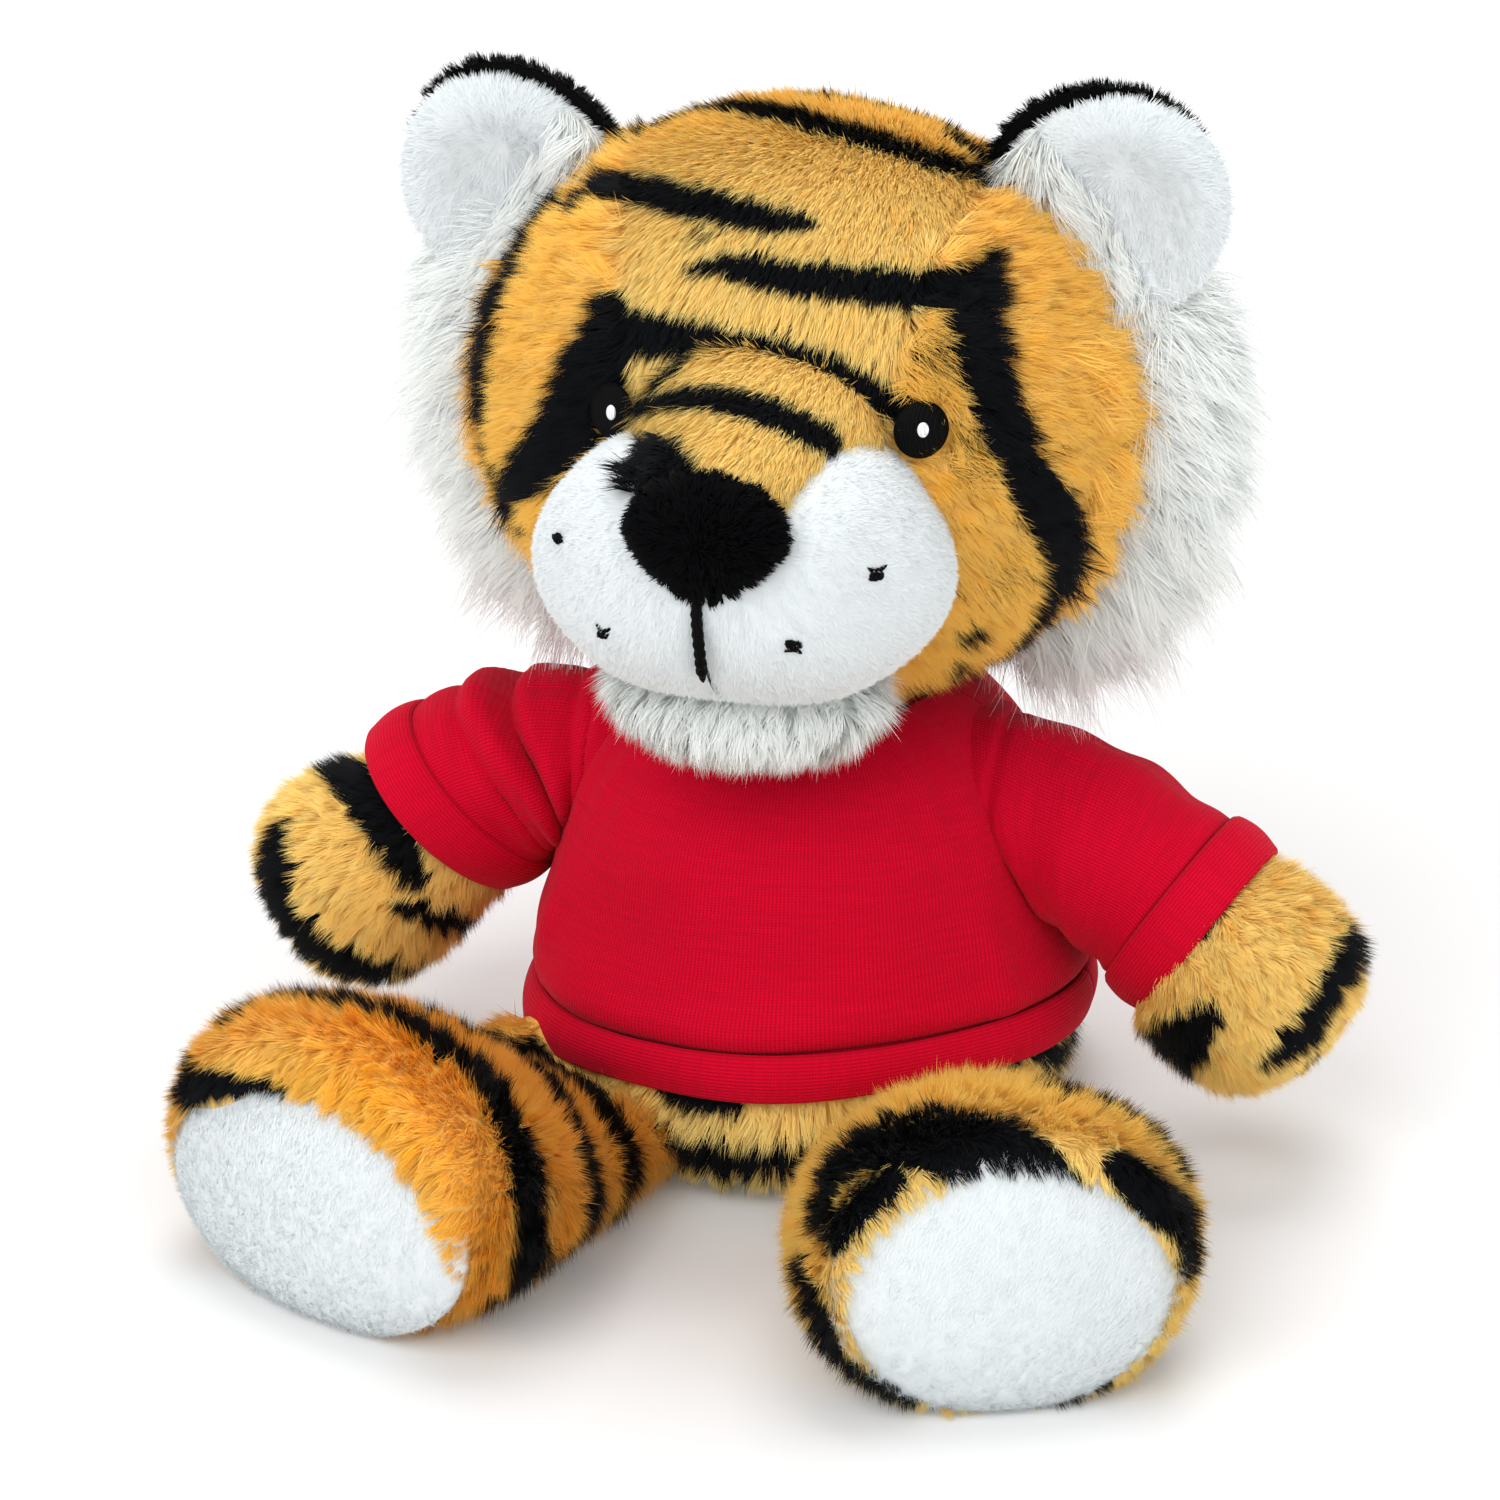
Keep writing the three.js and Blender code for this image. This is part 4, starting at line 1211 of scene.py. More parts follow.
# Behind the body the photograph shows nothing: bars from one angle to another, heights and half widths
BODY_BACK_BARS = [
    (60, 118, 20, 2.4), (66, 124, 9, 2.2), (300, 240, 18, 2.5), (296, 234, 8, 2.2), (128, 166, 15, 2.4),
    (230, 192, 13, 2.4), (150, 210, 5, 2.0),
]
body_stripes += back_bars(BODY_BACK_BARS, body_place, 3, 0.6)

dress_skin(body_skin, "torso", "tiger", ["body_cover"], body_stripes, 0.35)

hem_low, hem_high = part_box("shirt_hem_band")
HEM_BAND_HEIGHT = 7.6 * MM
HEM_DROP = 4.6 * MM
HEM_SIDE_TILT = 0.07
hem_slope = (hem_high[2] - hem_low[2] - HEM_BAND_HEIGHT) / (hem_high[1] - hem_low[1])


def hem_height_at(p):
    """The height of the hem's lower edge. It rises to the front, and a little to the tiger's left."""
    return hem_low[2] - HEM_DROP + (hem_high[1] - p[..., 1]) * hem_slope + p[..., 0] * HEM_SIDE_TILT


def under_hem(p):
    """True under the hem band, where pile would come through the cloth."""
    reach = np.hypot(p[:, 0], p[:, 1] * body_half[0] / body_half[1])
    return (reach < body_half[0] + 7 * MM) & (p[:, 2] > hem_height_at(p) - 4.5 * MM)


grow_pile(
    "body_pile", skin=body_skin, body="torso", kind="tiger",
    keep=lambda p: (p[:, 2] < hem_height_at(p) + 0.5 * MM) & (p[:, 2] > 0.5 * MM),
    comb=lambda p: p * (4, 4, 0) - UP,
    length=lambda p: 3.2 + 2.8 * smooth_step(0, 5 * MM, hem_height_at(p) - p[:, 2]),
    lean=(30, 66), seed=61, density=11, width=0.25, gather=0.42, stray=0.3, tuft=54,
    stripes=body_stripes, tone=0.02, on_floor=True,
)

# Limbs


ARM_FIT = 0.97


class Limb:
    """A stuffed limb: a swelling form about an axis from its joint. Its profile gives radii as shares of
    the thickness and distances as shares of the reach."""

    def __init__(self, stem, side, profile, width_share, root, root_slimming=0.0):
        self.side = side
        self.stem = stem
        self.body = f"{stem}_{side}"
        self.pivot = joint_place(f"{stem}_{side}_lift")
        self.axis = unit(root - self.pivot)
        self.across = unit(np.cross(UP, self.axis))
        self.rise = np.cross(self.axis, self.across)
        spots = node_points(f"{stem}_{side}_cover") - self.pivot
        reach = spots @ self.axis
        self.reach = reach.max() * ARM_FIT if stem == "arm" else reach.max()
        self.thick = np.abs(spots @ self.rise)[(reach > self.reach * 0.5)].max()
        self.width_share = width_share
        self.profile = spline(profile, 90) * (self.thick, self.reach)
        self.profile[:, 0] *= 1 - root_slimming * smooth_step(0.45, 0.1, self.profile[:, 1] / self.reach)

    def rings(self, grow, sides):
        moved = moved_out(self.profile, grow)
        moved[:, 0] = np.maximum(moved[:, 0], 0)
        return np.stack([
            self.pivot + moved[:, 1:] * self.axis
            + moved[:, :1] * (math.cos(a) * self.width_share * self.across + math.sin(a) * self.rise)
            for a in np.linspace(0, FULL_TURN, sides, endpoint=False)
        ], 1)

    def place(self, share, angle):
        """A place on the surface, at a share of the reach and an angle from above, towards +X."""
        order = np.argsort(self.profile[:, 1])
        radius = np.interp(share * self.reach, self.profile[order, 1], self.profile[order, 0])
        a = math.radians(angle)
        way = math.sin(a) * self.width_share * self.across + math.cos(a) * self.rise
        return self.pivot + self.axis * share * self.reach + way * radius

    def settle(self, p):
        """The filling slides down to the foot, so that a leg lies flatter towards the hip."""
        share = self.distance_along(p) / self.reach
        outer = (p - self.pivot) @ self.across * np.sign(self.across[0] * self.pivot[0])
        haunch = 0.55 * hump(share, 0.08, 0.17) * smooth_step(2 * MM, 12 * MM, outer)
        flat = 1 - HIP_FLATNESS * smooth_step(0.88, 0.25, share) * (1 - haunch)
        return vectors(p[:, 0], p[:, 1], p[:, 2] * flat)

    def distance_along(self, p):
        return (p - self.pivot) @ self.axis

    def distance_out(self, p):
        d = p - self.pivot
        return np.hypot(d @ self.across / self.width_share, d @ self.rise)

    def band(self, share, start, end, half_width, bow=0.0):
        """A stripe round the limb between two angles, bowed along it."""
        rows = []
        for t in np.linspace(0, 1, 9):
            place = self.place(share + bow * math.sin(math.pi * t), start + (end - start) * t)
            rows.append((*place, half_width * MM * min(1, 0.25 + 3 * min(t, 1 - t))))
        return rows

    def hidden_bands(self):
        turn = SIDES[self.side]
        return [
            self.band(share, start * turn, end * turn, half_width, bow)
            for share, start, end, half_width, bow in HIDDEN_BANDS[self.stem]
        ]


LEG_PROFILE_SHARES = [
    (0, -0.14), (0.4, -0.11), (0.56, 0.02), (0.66, 0.28), (0.78, 0.5), (0.95, 0.7), (1, 0.85), (0.94, 0.97),
    (0.72, 1), (0, 1),
]
LEG_WIDTH_SHARE = {"left": 1.22, "right": 1.35}
HIP_FLATNESS = 0.5
SOLE_SHARES = {"left": (1.16, 0.92), "right": (1.3, 0.87)}
SOLE_DROP = {"left": 2.5 * MM, "right": 4.5 * MM}
LEG_TONE = {"left": 0.06, "right": 0.45}
FILLING_INSET = 2.6 * MM
# The photograph doesn't show the legs' outer and lower sides, or the arms' backs. Each band has its share of
# the reach, the angles that it starts and ends at, its half width in millimetres and its bow.
HIDDEN_BANDS = {
    "leg": [
        (0.34, 60, 200, 2.2, 0.04), (0.5, 80, 210, 2.4, -0.04), (0.66, 70, 160, 2.6, 0.03),
        (0.82, 100, 200, 2.4, 0.02),
    ],
    "arm": [(0.6, 35, 150, 2.4, 0.04), (0.78, 60, 185, 2.4, -0.03), (0.92, 20, 120, 2.2, 0.02)],
}
LEG_STRIPES = {
    "right": {
        "arch_front": [
            (224, 1002, 1.8), (280, 1006, 2.4), (350, 1014, 2.8), (421, 1040, 3.0), (470, 1076, 3.2),
            (505, 1128, 3.4), (522, 1184, 3.6), (522, 1241, 3.6), (516, 1283, 3.2), (501, 1307, 2.8),
        ],
        "arch_middle": [
            (430, 1030, 2.2), (488, 1050, 3.0), (528, 1084, 3.8), (558, 1128, 4.2), (578, 1180, 4.2),
            (574, 1230, 3.8), (560, 1266, 2.8),
        ],
        "arch_back": [
            (470, 1030, 2.0), (530, 1056, 3.0), (574, 1090, 3.4), (604, 1128, 3.6), (624, 1177, 3.4),
            (624, 1213, 2.6),
        ],
        "toe": [(168, 1065, 3.2), (182, 1086, 3.2), (224, 1083, 2.4), (287, 1090, 1.1)],
        "under": [(217, 1255, 1.4), (266, 1297, 1.4)],
    },
    "left": {
        "arch": [
            (828, 1215, 3.2), (842, 1176, 4.2), (874, 1152, 4.8), (915, 1143, 5.2), (968, 1143, 5.2),
            (1008, 1152, 4.6), (1045, 1172, 3.4), (1078, 1188, 1.8),
        ],
        "blotch": [(838, 1240, 2.4), (862, 1205, 2.6), (895, 1180, 2.2)],
        "outer": [(1122, 1168, 2.6), (1152, 1196, 3.3), (1183, 1228, 3.4), (1222, 1268, 2.8)],
        "outer_top": [(1126, 1106, 2.2), (1150, 1130, 2.8), (1182, 1162, 2.4)],
        "knee": [(1059, 1070, 2.8), (1101, 1088, 2.6)],
        "inner": [(813, 1276, 3.2), (824, 1311, 3.7), (834, 1353, 4.2), (863, 1381, 4.4), (898, 1395, 2.8)],
        "under": [(1052, 1409, 1.6), (1108, 1395, 1.8)],
    },
}


def pack_filling(filling, limb):
    fit(filling, "fibre_fill", limb.body, f"{limb.body}_stuffing")


def make_leg(side, seed):
    """A leg with its sole, their pile and the filling."""
    leg = Limb("leg", side, LEG_PROFILE_SHARES, LEG_WIDTH_SHARE[side], middle_of(f"sole_{side}"))
    skin = skin_of_rings(f"leg_{side}_skin", leg.rings(0, 96), materials["tiger"])
    p = points_of(skin)
    p = leg.settle(p + normals_of(skin) * (0.8 * MM * waves(p, 34 * MM, seed))[:, None])
    p[:, 2] = np.maximum(p[:, 2], 0.6 * MM)
    put_points(skin, p)
    surface = tree_of(skin)
    stripes = [seen_on(surface, rows) for rows in LEG_STRIPES[side].values()]
    if side == "left":
        # Seen over the top of the foot
        stripes.append(leg.band(0.64, -45, 20, 3.2, 0.03))
    stripes += leg.hidden_bands()
    dress_skin(skin, leg.body, "tiger", [f"leg_{side}_cover"], stripes, LEG_TONE[side])
    sole_half = np.array(SOLE_SHARES[side]) * leg.thick
    sole_drop = SOLE_DROP[side]

    def sole_share(q):
        """0 at the sole's middle and 1 at its edge."""
        d = q - leg.pivot
        return np.hypot(d @ leg.across / sole_half[0], (d @ leg.rise + sole_drop) / sole_half[1])

    def tone(q):
        deep = smooth_step(0.45, 0.8, leg.distance_along(q) / leg.reach) * (0.5 + 0.5 * waves(q, 40 * MM, 7))
        return LEG_TONE[side] + (0.35 if side == "right" else 0.12) * deep

    grow_pile(
        f"leg_{side}_pile", skin=skin, body=leg.body, kind="tiger",
        keep=lambda q: (leg.distance_along(q) > 0.02 * leg.reach) & ~under_hem(q)
        & ((sole_share(q) > 0.93) | (leg.distance_along(q) < 0.8 * leg.reach)),
        comb=lambda q: leg.axis + vectors(0.15 * np.sign(q[:, 0]), 0, -0.3),
        length=lambda q: 6 - 2 * smooth_step(0.86, 0.97, leg.distance_along(q) / leg.reach), lean=(26, 66),
        seed=seed, density=12, width=0.25, gather=0.32, stray=0.3, tuft=40, stripes=stripes, tone=tone,
        on_floor=True,
    )
    sole = stuffed_ball(f"sole_{side}_skin", (0, 0, 0), (1, 1, 1), materials["white"], detail=4)
    q = points_of(sole)
    out = np.clip(np.hypot(q[:, 0], q[:, 1]), 0, 1)
    bulge = np.where(q[:, 2] > 0, 5 * MM, 2 * MM) * np.sign(q[:, 2]) * (1 - out**2) ** 0.5
    along = leg.reach + 0.4 * MM + bulge - 3.4 * MM * out**2
    q = (
        leg.pivot + leg.axis * along[:, None]
        + leg.across * (q[:, :1] * sole_half[0]) + leg.rise * (q[:, 1:2] * sole_half[1] - sole_drop)
    )
    q[:, 2] = np.maximum(q[:, 2], 0.6 * MM)
    put_points(sole, q)
    tidy(sole)
    dress_skin(sole, leg.body, "white", [f"sole_{side}"])
    grow_pile(
        f"sole_{side}_pile", skin=sole, body=leg.body, kind="white",
        keep=lambda q: leg.distance_along(q) > leg.reach - 3.2 * MM,
        comb=leg.rise + 0.4 * leg.across, length=1.9, width=0.2, lean=(56, 78), seed=seed + 1, density=14,
        gather=0.08, stray=0.14, tuft=30, on_floor=True, softness=0.95,
    )
    filling = skin_of_rings(f"leg_{side}_filling", leg.rings(-FILLING_INSET, 48), materials["fibre"])
    q = leg.settle(points_of(filling))
    q[:, 2] = np.maximum(q[:, 2], 3 * MM)
    put_points(filling, q)
    pack_filling(filling, leg)


make_leg("left", 71)
make_leg("right", 73)

ARM_SLIMMING = 1.2 * MM
ARM_PROFILE_SHARES = [
    (0, -0.2), (0.5, -0.17), (0.8, 0), (0.76, 0.25), (0.74, 0.45), (1, 0.68), (0.97, 0.85), (0.62, 0.96),
    (0, 1),
]
ARM_STRIPES = {
    "right": {
        "cuff": [(331, 757, 3.0), (353, 780, 3.6), (383, 817, 3.8), (402, 850, 3.2), (414, 874, 2.2)],
        "outer": [
            (284, 840, 3.0), (280, 872, 5.0), (286, 908, 5.4), (312, 936, 4.8), (348, 956, 3.6),
            (384, 974, 2.6),
        ],
        "palm": [(398, 902, 1.2), (430, 912, 2.2), (476, 918, 2.4)],
        "palm_thin": [(338, 942, 1.4), (376, 956, 1.9), (420, 964, 1.6)],
    },
    "left": {
        "outer": [
            (1347, 944, 3.2), (1330, 975, 3.4), (1312, 1006, 3.4), (1290, 1035, 3.2), (1270, 1052, 2.2),
        ],
        "palm": [(1158, 1042, 3.0), (1186, 1030, 3.4), (1212, 1016, 2.4)],
        "palm_tail": [(1196, 1046, 2.6), (1184, 1072, 1.6)],
        "cuff": [(1205, 935, 1.0), (1222, 905, 1.2)],
        "tip": [(1325, 1096, 1.4), (1342, 1086, 1.4)],
    },
}


# How far each cuff is raised, its underside is drawn back to the body, and the whole is moved outwards
CUFF_LIES = {"left": (2 * MM, -1 * MM, 3.6 * MM), "right": (3.6 * MM, 8 * MM, -1.5 * MM)}


def cuff_lie(arm, above):
    """How far the cuff is moved, from above = -1 at its underside to 1 at its top."""
    rise, slant, shift = CUFF_LIES[arm.side]
    return arm.rise * rise + arm.axis * (shift - slant * (1 - above) / 2)


def outside_cuff(arm, q):
    """How far places on an arm lie outside its cuff."""
    edge = ((node_points(f"sleeve_{arm.side}_cuff") - arm.pivot) @ arm.axis).max()
    d = q - arm.pivot
    above = (d @ arm.rise / np.maximum(arm.distance_out(q), 1e-6))[:, None]
    return arm.distance_along(q) - edge - cuff_lie(arm, above) @ arm.axis


def make_arm(side, seed):
    """An arm with its pile, which starts at the cuff, and the filling."""
    turn = SIDES[side]
    arm = Limb("arm", side, ARM_PROFILE_SHARES, 1, middle_of(f"sleeve_{side}_cuff"), 0.4)
    skin = skin_of_rings(f"arm_{side}_skin", arm.rings(-ARM_SLIMMING, 80), materials["tiger"])
    p = points_of(skin)
    p += normals_of(skin) * (0.7 * MM * waves(p, 30 * MM, seed))[:, None]
    put_points(skin, p)
    surface = tree_of(skin)
    stripes = [seen_on(surface, rows) for rows in ARM_STRIPES[side].values()]
    stripes += arm.hidden_bands()
    dress_skin(skin, arm.body, "tiger", [f"arm_{side}_cover"], stripes, 0.35)
    grow_pile(
        f"arm_{side}_pile", skin=skin, body=arm.body, kind="tiger",
        keep=lambda q: outside_cuff(arm, q) > -1.5 * MM,
        comb=arm.axis + (0.1 * turn, 0, -0.35), length=4.8, lean=(30, 66), seed=seed, density=14, width=0.24,
        gather=0.38, stray=0.3, tuft=70, stripes=stripes, tone=0.22,
    )
    inner = arm.rings(-ARM_SLIMMING - FILLING_INSET, 40)
    pack_filling(skin_of_rings(f"arm_{side}_filling", inner, materials["fibre"]), arm)
    return arm


arms = {"left": make_arm("left", 81), "right": make_arm("right", 83)}

# Tail


TAIL_RADIUS = 7 * MM
TAIL_LIFT = 8.2 * MM
TAIL_RINGS = (0.3, 0.48, 0.66, 0.84, 0.92, 1.0)


def make_tail():
    """A tube that leaves the seat at the back and curls round to the tiger's right on the floor."""
    root = joint_place("tail_swing")
    low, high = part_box("tail")
    side_reach = high[0] - low[0] - 2 * TAIL_RADIUS
    back_reach = high[1] - root[1] - TAIL_RADIUS
    route = [root]
    for side, back, up in ((0.05, 0.55, 1), (0.35, 0.95, 0.4), (1, 1, 0)):
        height = TAIL_LIFT + up * (root[2] - TAIL_LIFT) / 2
        route.append(np.array((-side * side_reach, root[1] + back * back_reach, height)))
    places = spline(route, 60)
    along = unit(np.gradient(places, axis=0))
    first = unit(np.cross(along, UP))
    second = np.cross(first, along)
    share = np.linspace(0, 1, len(places))
    thick = (TAIL_RADIUS - 1.2 * MM) * np.sqrt(np.clip(1 - np.clip((share - 0.9) / 0.1, 0, 1) ** 2, 0.001, 1))
    skin = skin_of_rings("tail_skin", round_tube(places, first, second, thick, 24), materials["tiger"])
    stripes = []
    for share_along in TAIL_RINGS:
        i = min(int(share_along * 59), 58)
        stripes.append([
            (*(places[i] + TAIL_RADIUS * (math.cos(a) * first[i] + math.sin(a) * second[i])), 2.2 * MM)
            for a in np.linspace(0, FULL_TURN, 13)
        ])
    dress_skin(skin, "tail", "tiger", ["tail"], stripes, 0.35)
    grow_pile(
        "tail_pile", skin=skin, body="tail", kind="tiger",
        keep=lambda q: q[:, 1] > root[1] - 2 * MM,
        comb=lambda q: along[nearest(places, q)], length=5, lean=(30, 66), seed=91,
        density=9, width=0.4, gather=0.4, stray=0.35, tuft=26, stripes=stripes, tone=0.35, on_floor=True,
    )


make_tail()

# T-shirt


def set_cloth_map(piece, flat):
    """Gives a sheet its flat pattern, in metres, so that the knit runs with the cloth."""
    layer = piece.data.uv_layers.new(name="cloth")
    corners = np.empty(len(piece.data.loops), np.int32)
    piece.data.loops.foreach_get("vertex_index", corners)
    layer.data.foreach_set("uv", np.asarray(flat, np.float32)[corners].ravel())


def lengths_along(steps):
    """The length so far at each place along a line, from the steps between them."""
    return np.concatenate(([0], np.cumsum(steps)))


def flat_map(rings):
    """Flat places of a grid of points: the mean length round, and the mean length down."""
    across = lengths_along(np.linalg.norm(np.diff(rings, axis=1), axis=2).mean(0))
    down = lengths_along(np.linalg.norm(np.diff(rings, axis=0), axis=2).mean(1))
    return vectors(across[None], down[:, None]).reshape(-1, 2), across[-1], down[-1]


def cloth(name, node, rings, thickness, band=False):
    """A sheet of jersey through a grid of points, thickened inwards. A band's knit runs along it."""
    rows, columns = rings.shape[:2]
    piece = new_piece(name, rings.reshape(-1, 3), grid_faces(rows, columns, False), materials["jersey"])
    flat, width, length = flat_map(rings)
    set_cloth_map(piece, flat[:, ::-1] if band else flat)
    only(piece)
    solid = piece.modifiers.new("thickness", "SOLIDIFY")
    solid.thickness = thickness
    solid.offset = -1
    bpy.ops.object.modifier_apply(modifier=solid.name)
    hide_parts(node)
    return piece, (width, length)


SHIRT_EASE = 1.6 * MM
# The creases from each armpit: how fast each one falls, its width and its strength
ARMPIT_CREASES = [(0.0, 0.07, 1.0), (0.55, 0.06, 0.7), (1.1, 0.08, 0.5)]
shirt_outline = moved_out(body_outline, SHIRT_EASE)
shirt_outline = shirt_outline[int(np.argmax(shirt_outline[:, 1] > 8 * MM)):]
shirt_radii, shirt_heights = shirt_outline.T
collar_radius = size_of("shirt_neck_band")[0] / 2


def shirt_point(turn, height):
    """Places on the shirt at angles round from the front and at heights."""
    return round_body(turn, np.interp(height, shirt_heights, shirt_radii), height)


def shirt_folds(turn, height):
    """How far the cloth stands out: soft creases from the armpits and slack over the hem."""
    above_hem = height - 24 * MM
    slack = 2.0 * MM * hump(above_hem, 9 * MM, 9 * MM) * (1 + 0.25 * np.sin(5 * turn + 0.6))
    crease = np.zeros_like(turn)
    for side in SIDES.values():
        for rise, spread, strength in ARMPIT_CREASES:
            line = np.abs(turn) - 1.02 + rise * (height - 48 * MM) / (30 * MM) * 0.35
            reach = smooth_step(0.9, 0.1, np.abs(turn) - 0.55) * smooth_step(20 * MM, 42 * MM, height)
            crease += np.where(np.sign(turn) == side, strength * hump(line, -0.14 * rise, spread) * reach, 0)
    loose = 0.5 * MM * np.sin(3 * turn + height * 90) * smooth_step(60 * MM, 30 * MM, height)
    return slack + 1.1 * MM * crease + loose


PANEL_ROWS = 84
PANEL_COLUMNS = 110
PANEL_THICKNESS = 0.9 * MM


def shirt_panel(name, start, end):
    """Half of the shirt, from the collar down to the seam above the hem band."""
    turns = np.linspace(start, end, PANEL_COLUMNS)
    bottom = hem_height_at(shirt_point(turns, np.full(PANEL_COLUMNS, 25 * MM))) + HEM_BAND_HEIGHT - 0.6 * MM
    collar = np.argmin(np.abs(shirt_radii[-40:] - collar_radius)) + len(shirt_radii) - 40
    lengths = lengths_along(np.linalg.norm(np.diff(shirt_outline, axis=0), axis=1))
    share = np.linspace(0, 1, PANEL_ROWS)[:, None]
    along = lengths[collar] + (np.interp(bottom, shirt_heights, lengths) - lengths[collar])[None, :] * share
    height = np.interp(along, lengths, shirt_heights)
    turn = np.broadcast_to(turns, height.shape)
    above_seam = height - bottom[None]
    radius = np.interp(along, lengths, shirt_radii) + shirt_folds(turn, height)
    radius += 0.9 * MM * hump(above_seam, 4.5 * MM, 3 * MM) - 1.8 * MM * hump(above_seam, 0, 1.6 * MM)
    rings = round_body(turn, radius, height)
    uneven = 0.45 * MM * waves(rings.reshape(-1, 3), 24 * MM, 98).reshape(radius.shape)
    rings[:, :, :2] *= (1 + uneven / radius)[:, :, None]
    piece, flat = cloth(f"{name}_cloth", name, rings, PANEL_THICKNESS)
    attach(piece, "torso")
    return piece, flat


SIDE_SEAM = math.pi / 2
shirt_front, front_flat = shirt_panel("shirt_front", -SIDE_SEAM, SIDE_SEAM)
shirt_back, back_flat = shirt_panel("shirt_back", SIDE_SEAM, 3 * SIDE_SEAM)


def band_section(height, thickness):
    """A folded band's outer face over its belly, and then the fold and the way back up inside."""
    down = np.linspace(0, 1, 14)
    belly = thickness * (0.75 + 0.5 * np.sin(math.pi * np.clip(down * 1.02, 0, 1)))
    outer = np.stack((belly * smooth_step(-0.12, 0.1, down), -height * down), -1)
    turned_up = ((0.5, -1.05), (-0.1, -1.06), (-0.5, -0.98), (-0.6, -0.7), (-0.6, -0.2), (-0.35, 0))
    return np.vstack((outer, np.array(turned_up) * (thickness, height)))


BAND_CLOTH = 0.4 * MM


def make_hem():
    turns = np.linspace(0, FULL_TURN, 241) + SIDE_SEAM
    top = hem_height_at(shirt_point(turns, np.full(len(turns), 22 * MM))) + HEM_BAND_HEIGHT
    radius = np.interp(top, shirt_heights, shirt_radii) + shirt_folds(turns, top)
    flare = 0.5 * MM * np.sin(6 * turns + 1) + 0.9 * MM + 1.2 * MM * hump(np.sin(turns), -1, 0.4)
    rows = [
        round_body(turns, radius + out + flare * (-down / HEM_BAND_HEIGHT), top + down)
        for out, down in band_section(HEM_BAND_HEIGHT, 1.8 * MM)
    ]
    piece, _ = cloth("shirt_hem_cloth", "shirt_hem_band", np.stack(rows), BAND_CLOTH, band=True)
    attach(piece, "torso")
    return piece


def make_neck_band():
    turns = np.linspace(0, FULL_TURN, 161) + math.pi
    low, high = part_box("shirt_neck_band")
    rows = []
    for out, down in band_section(high[2] - low[2], 1.6 * MM):
        r = collar_radius - 1.4 * MM + out - down * 0.5
        rows.append(vectors(r * np.sin(turns), -r * np.cos(turns), high[2] + 0.5 * MM + down))
    piece, _ = cloth("shirt_neck_cloth", "shirt_neck_band", np.stack(rows), BAND_CLOTH, band=True)
    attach(piece, "torso")
    return piece


hem_band = make_hem()
neck_band = make_neck_band()

# The shirt without its folds, for the sleeves to be set on
around, levels = np.linspace(0, FULL_TURN, 121), np.linspace(10 * MM, shirt_heights[-1], 80)
shirt_surface = BVHTree.FromPolygons(
    shirt_point(np.repeat(around, 80), np.tile(levels, 121)).tolist(), grid_faces(121, 80, False).tolist(),
)
CUFF_FIT = 0.79
ARMHOLE_X = 36.5 * MM
ARMHOLE_RADIUS = 20 * MM
# A deep fold and two slight ones: where each starts, how far it spreads, its depth in millimetres, its width
ARMPIT_FOLDS = [(0.04, 0.56, 3.0, 0.045), (0.0, 0.3, 0.9, 0.04), (0.5, 0.3, 0.7, 0.03)]


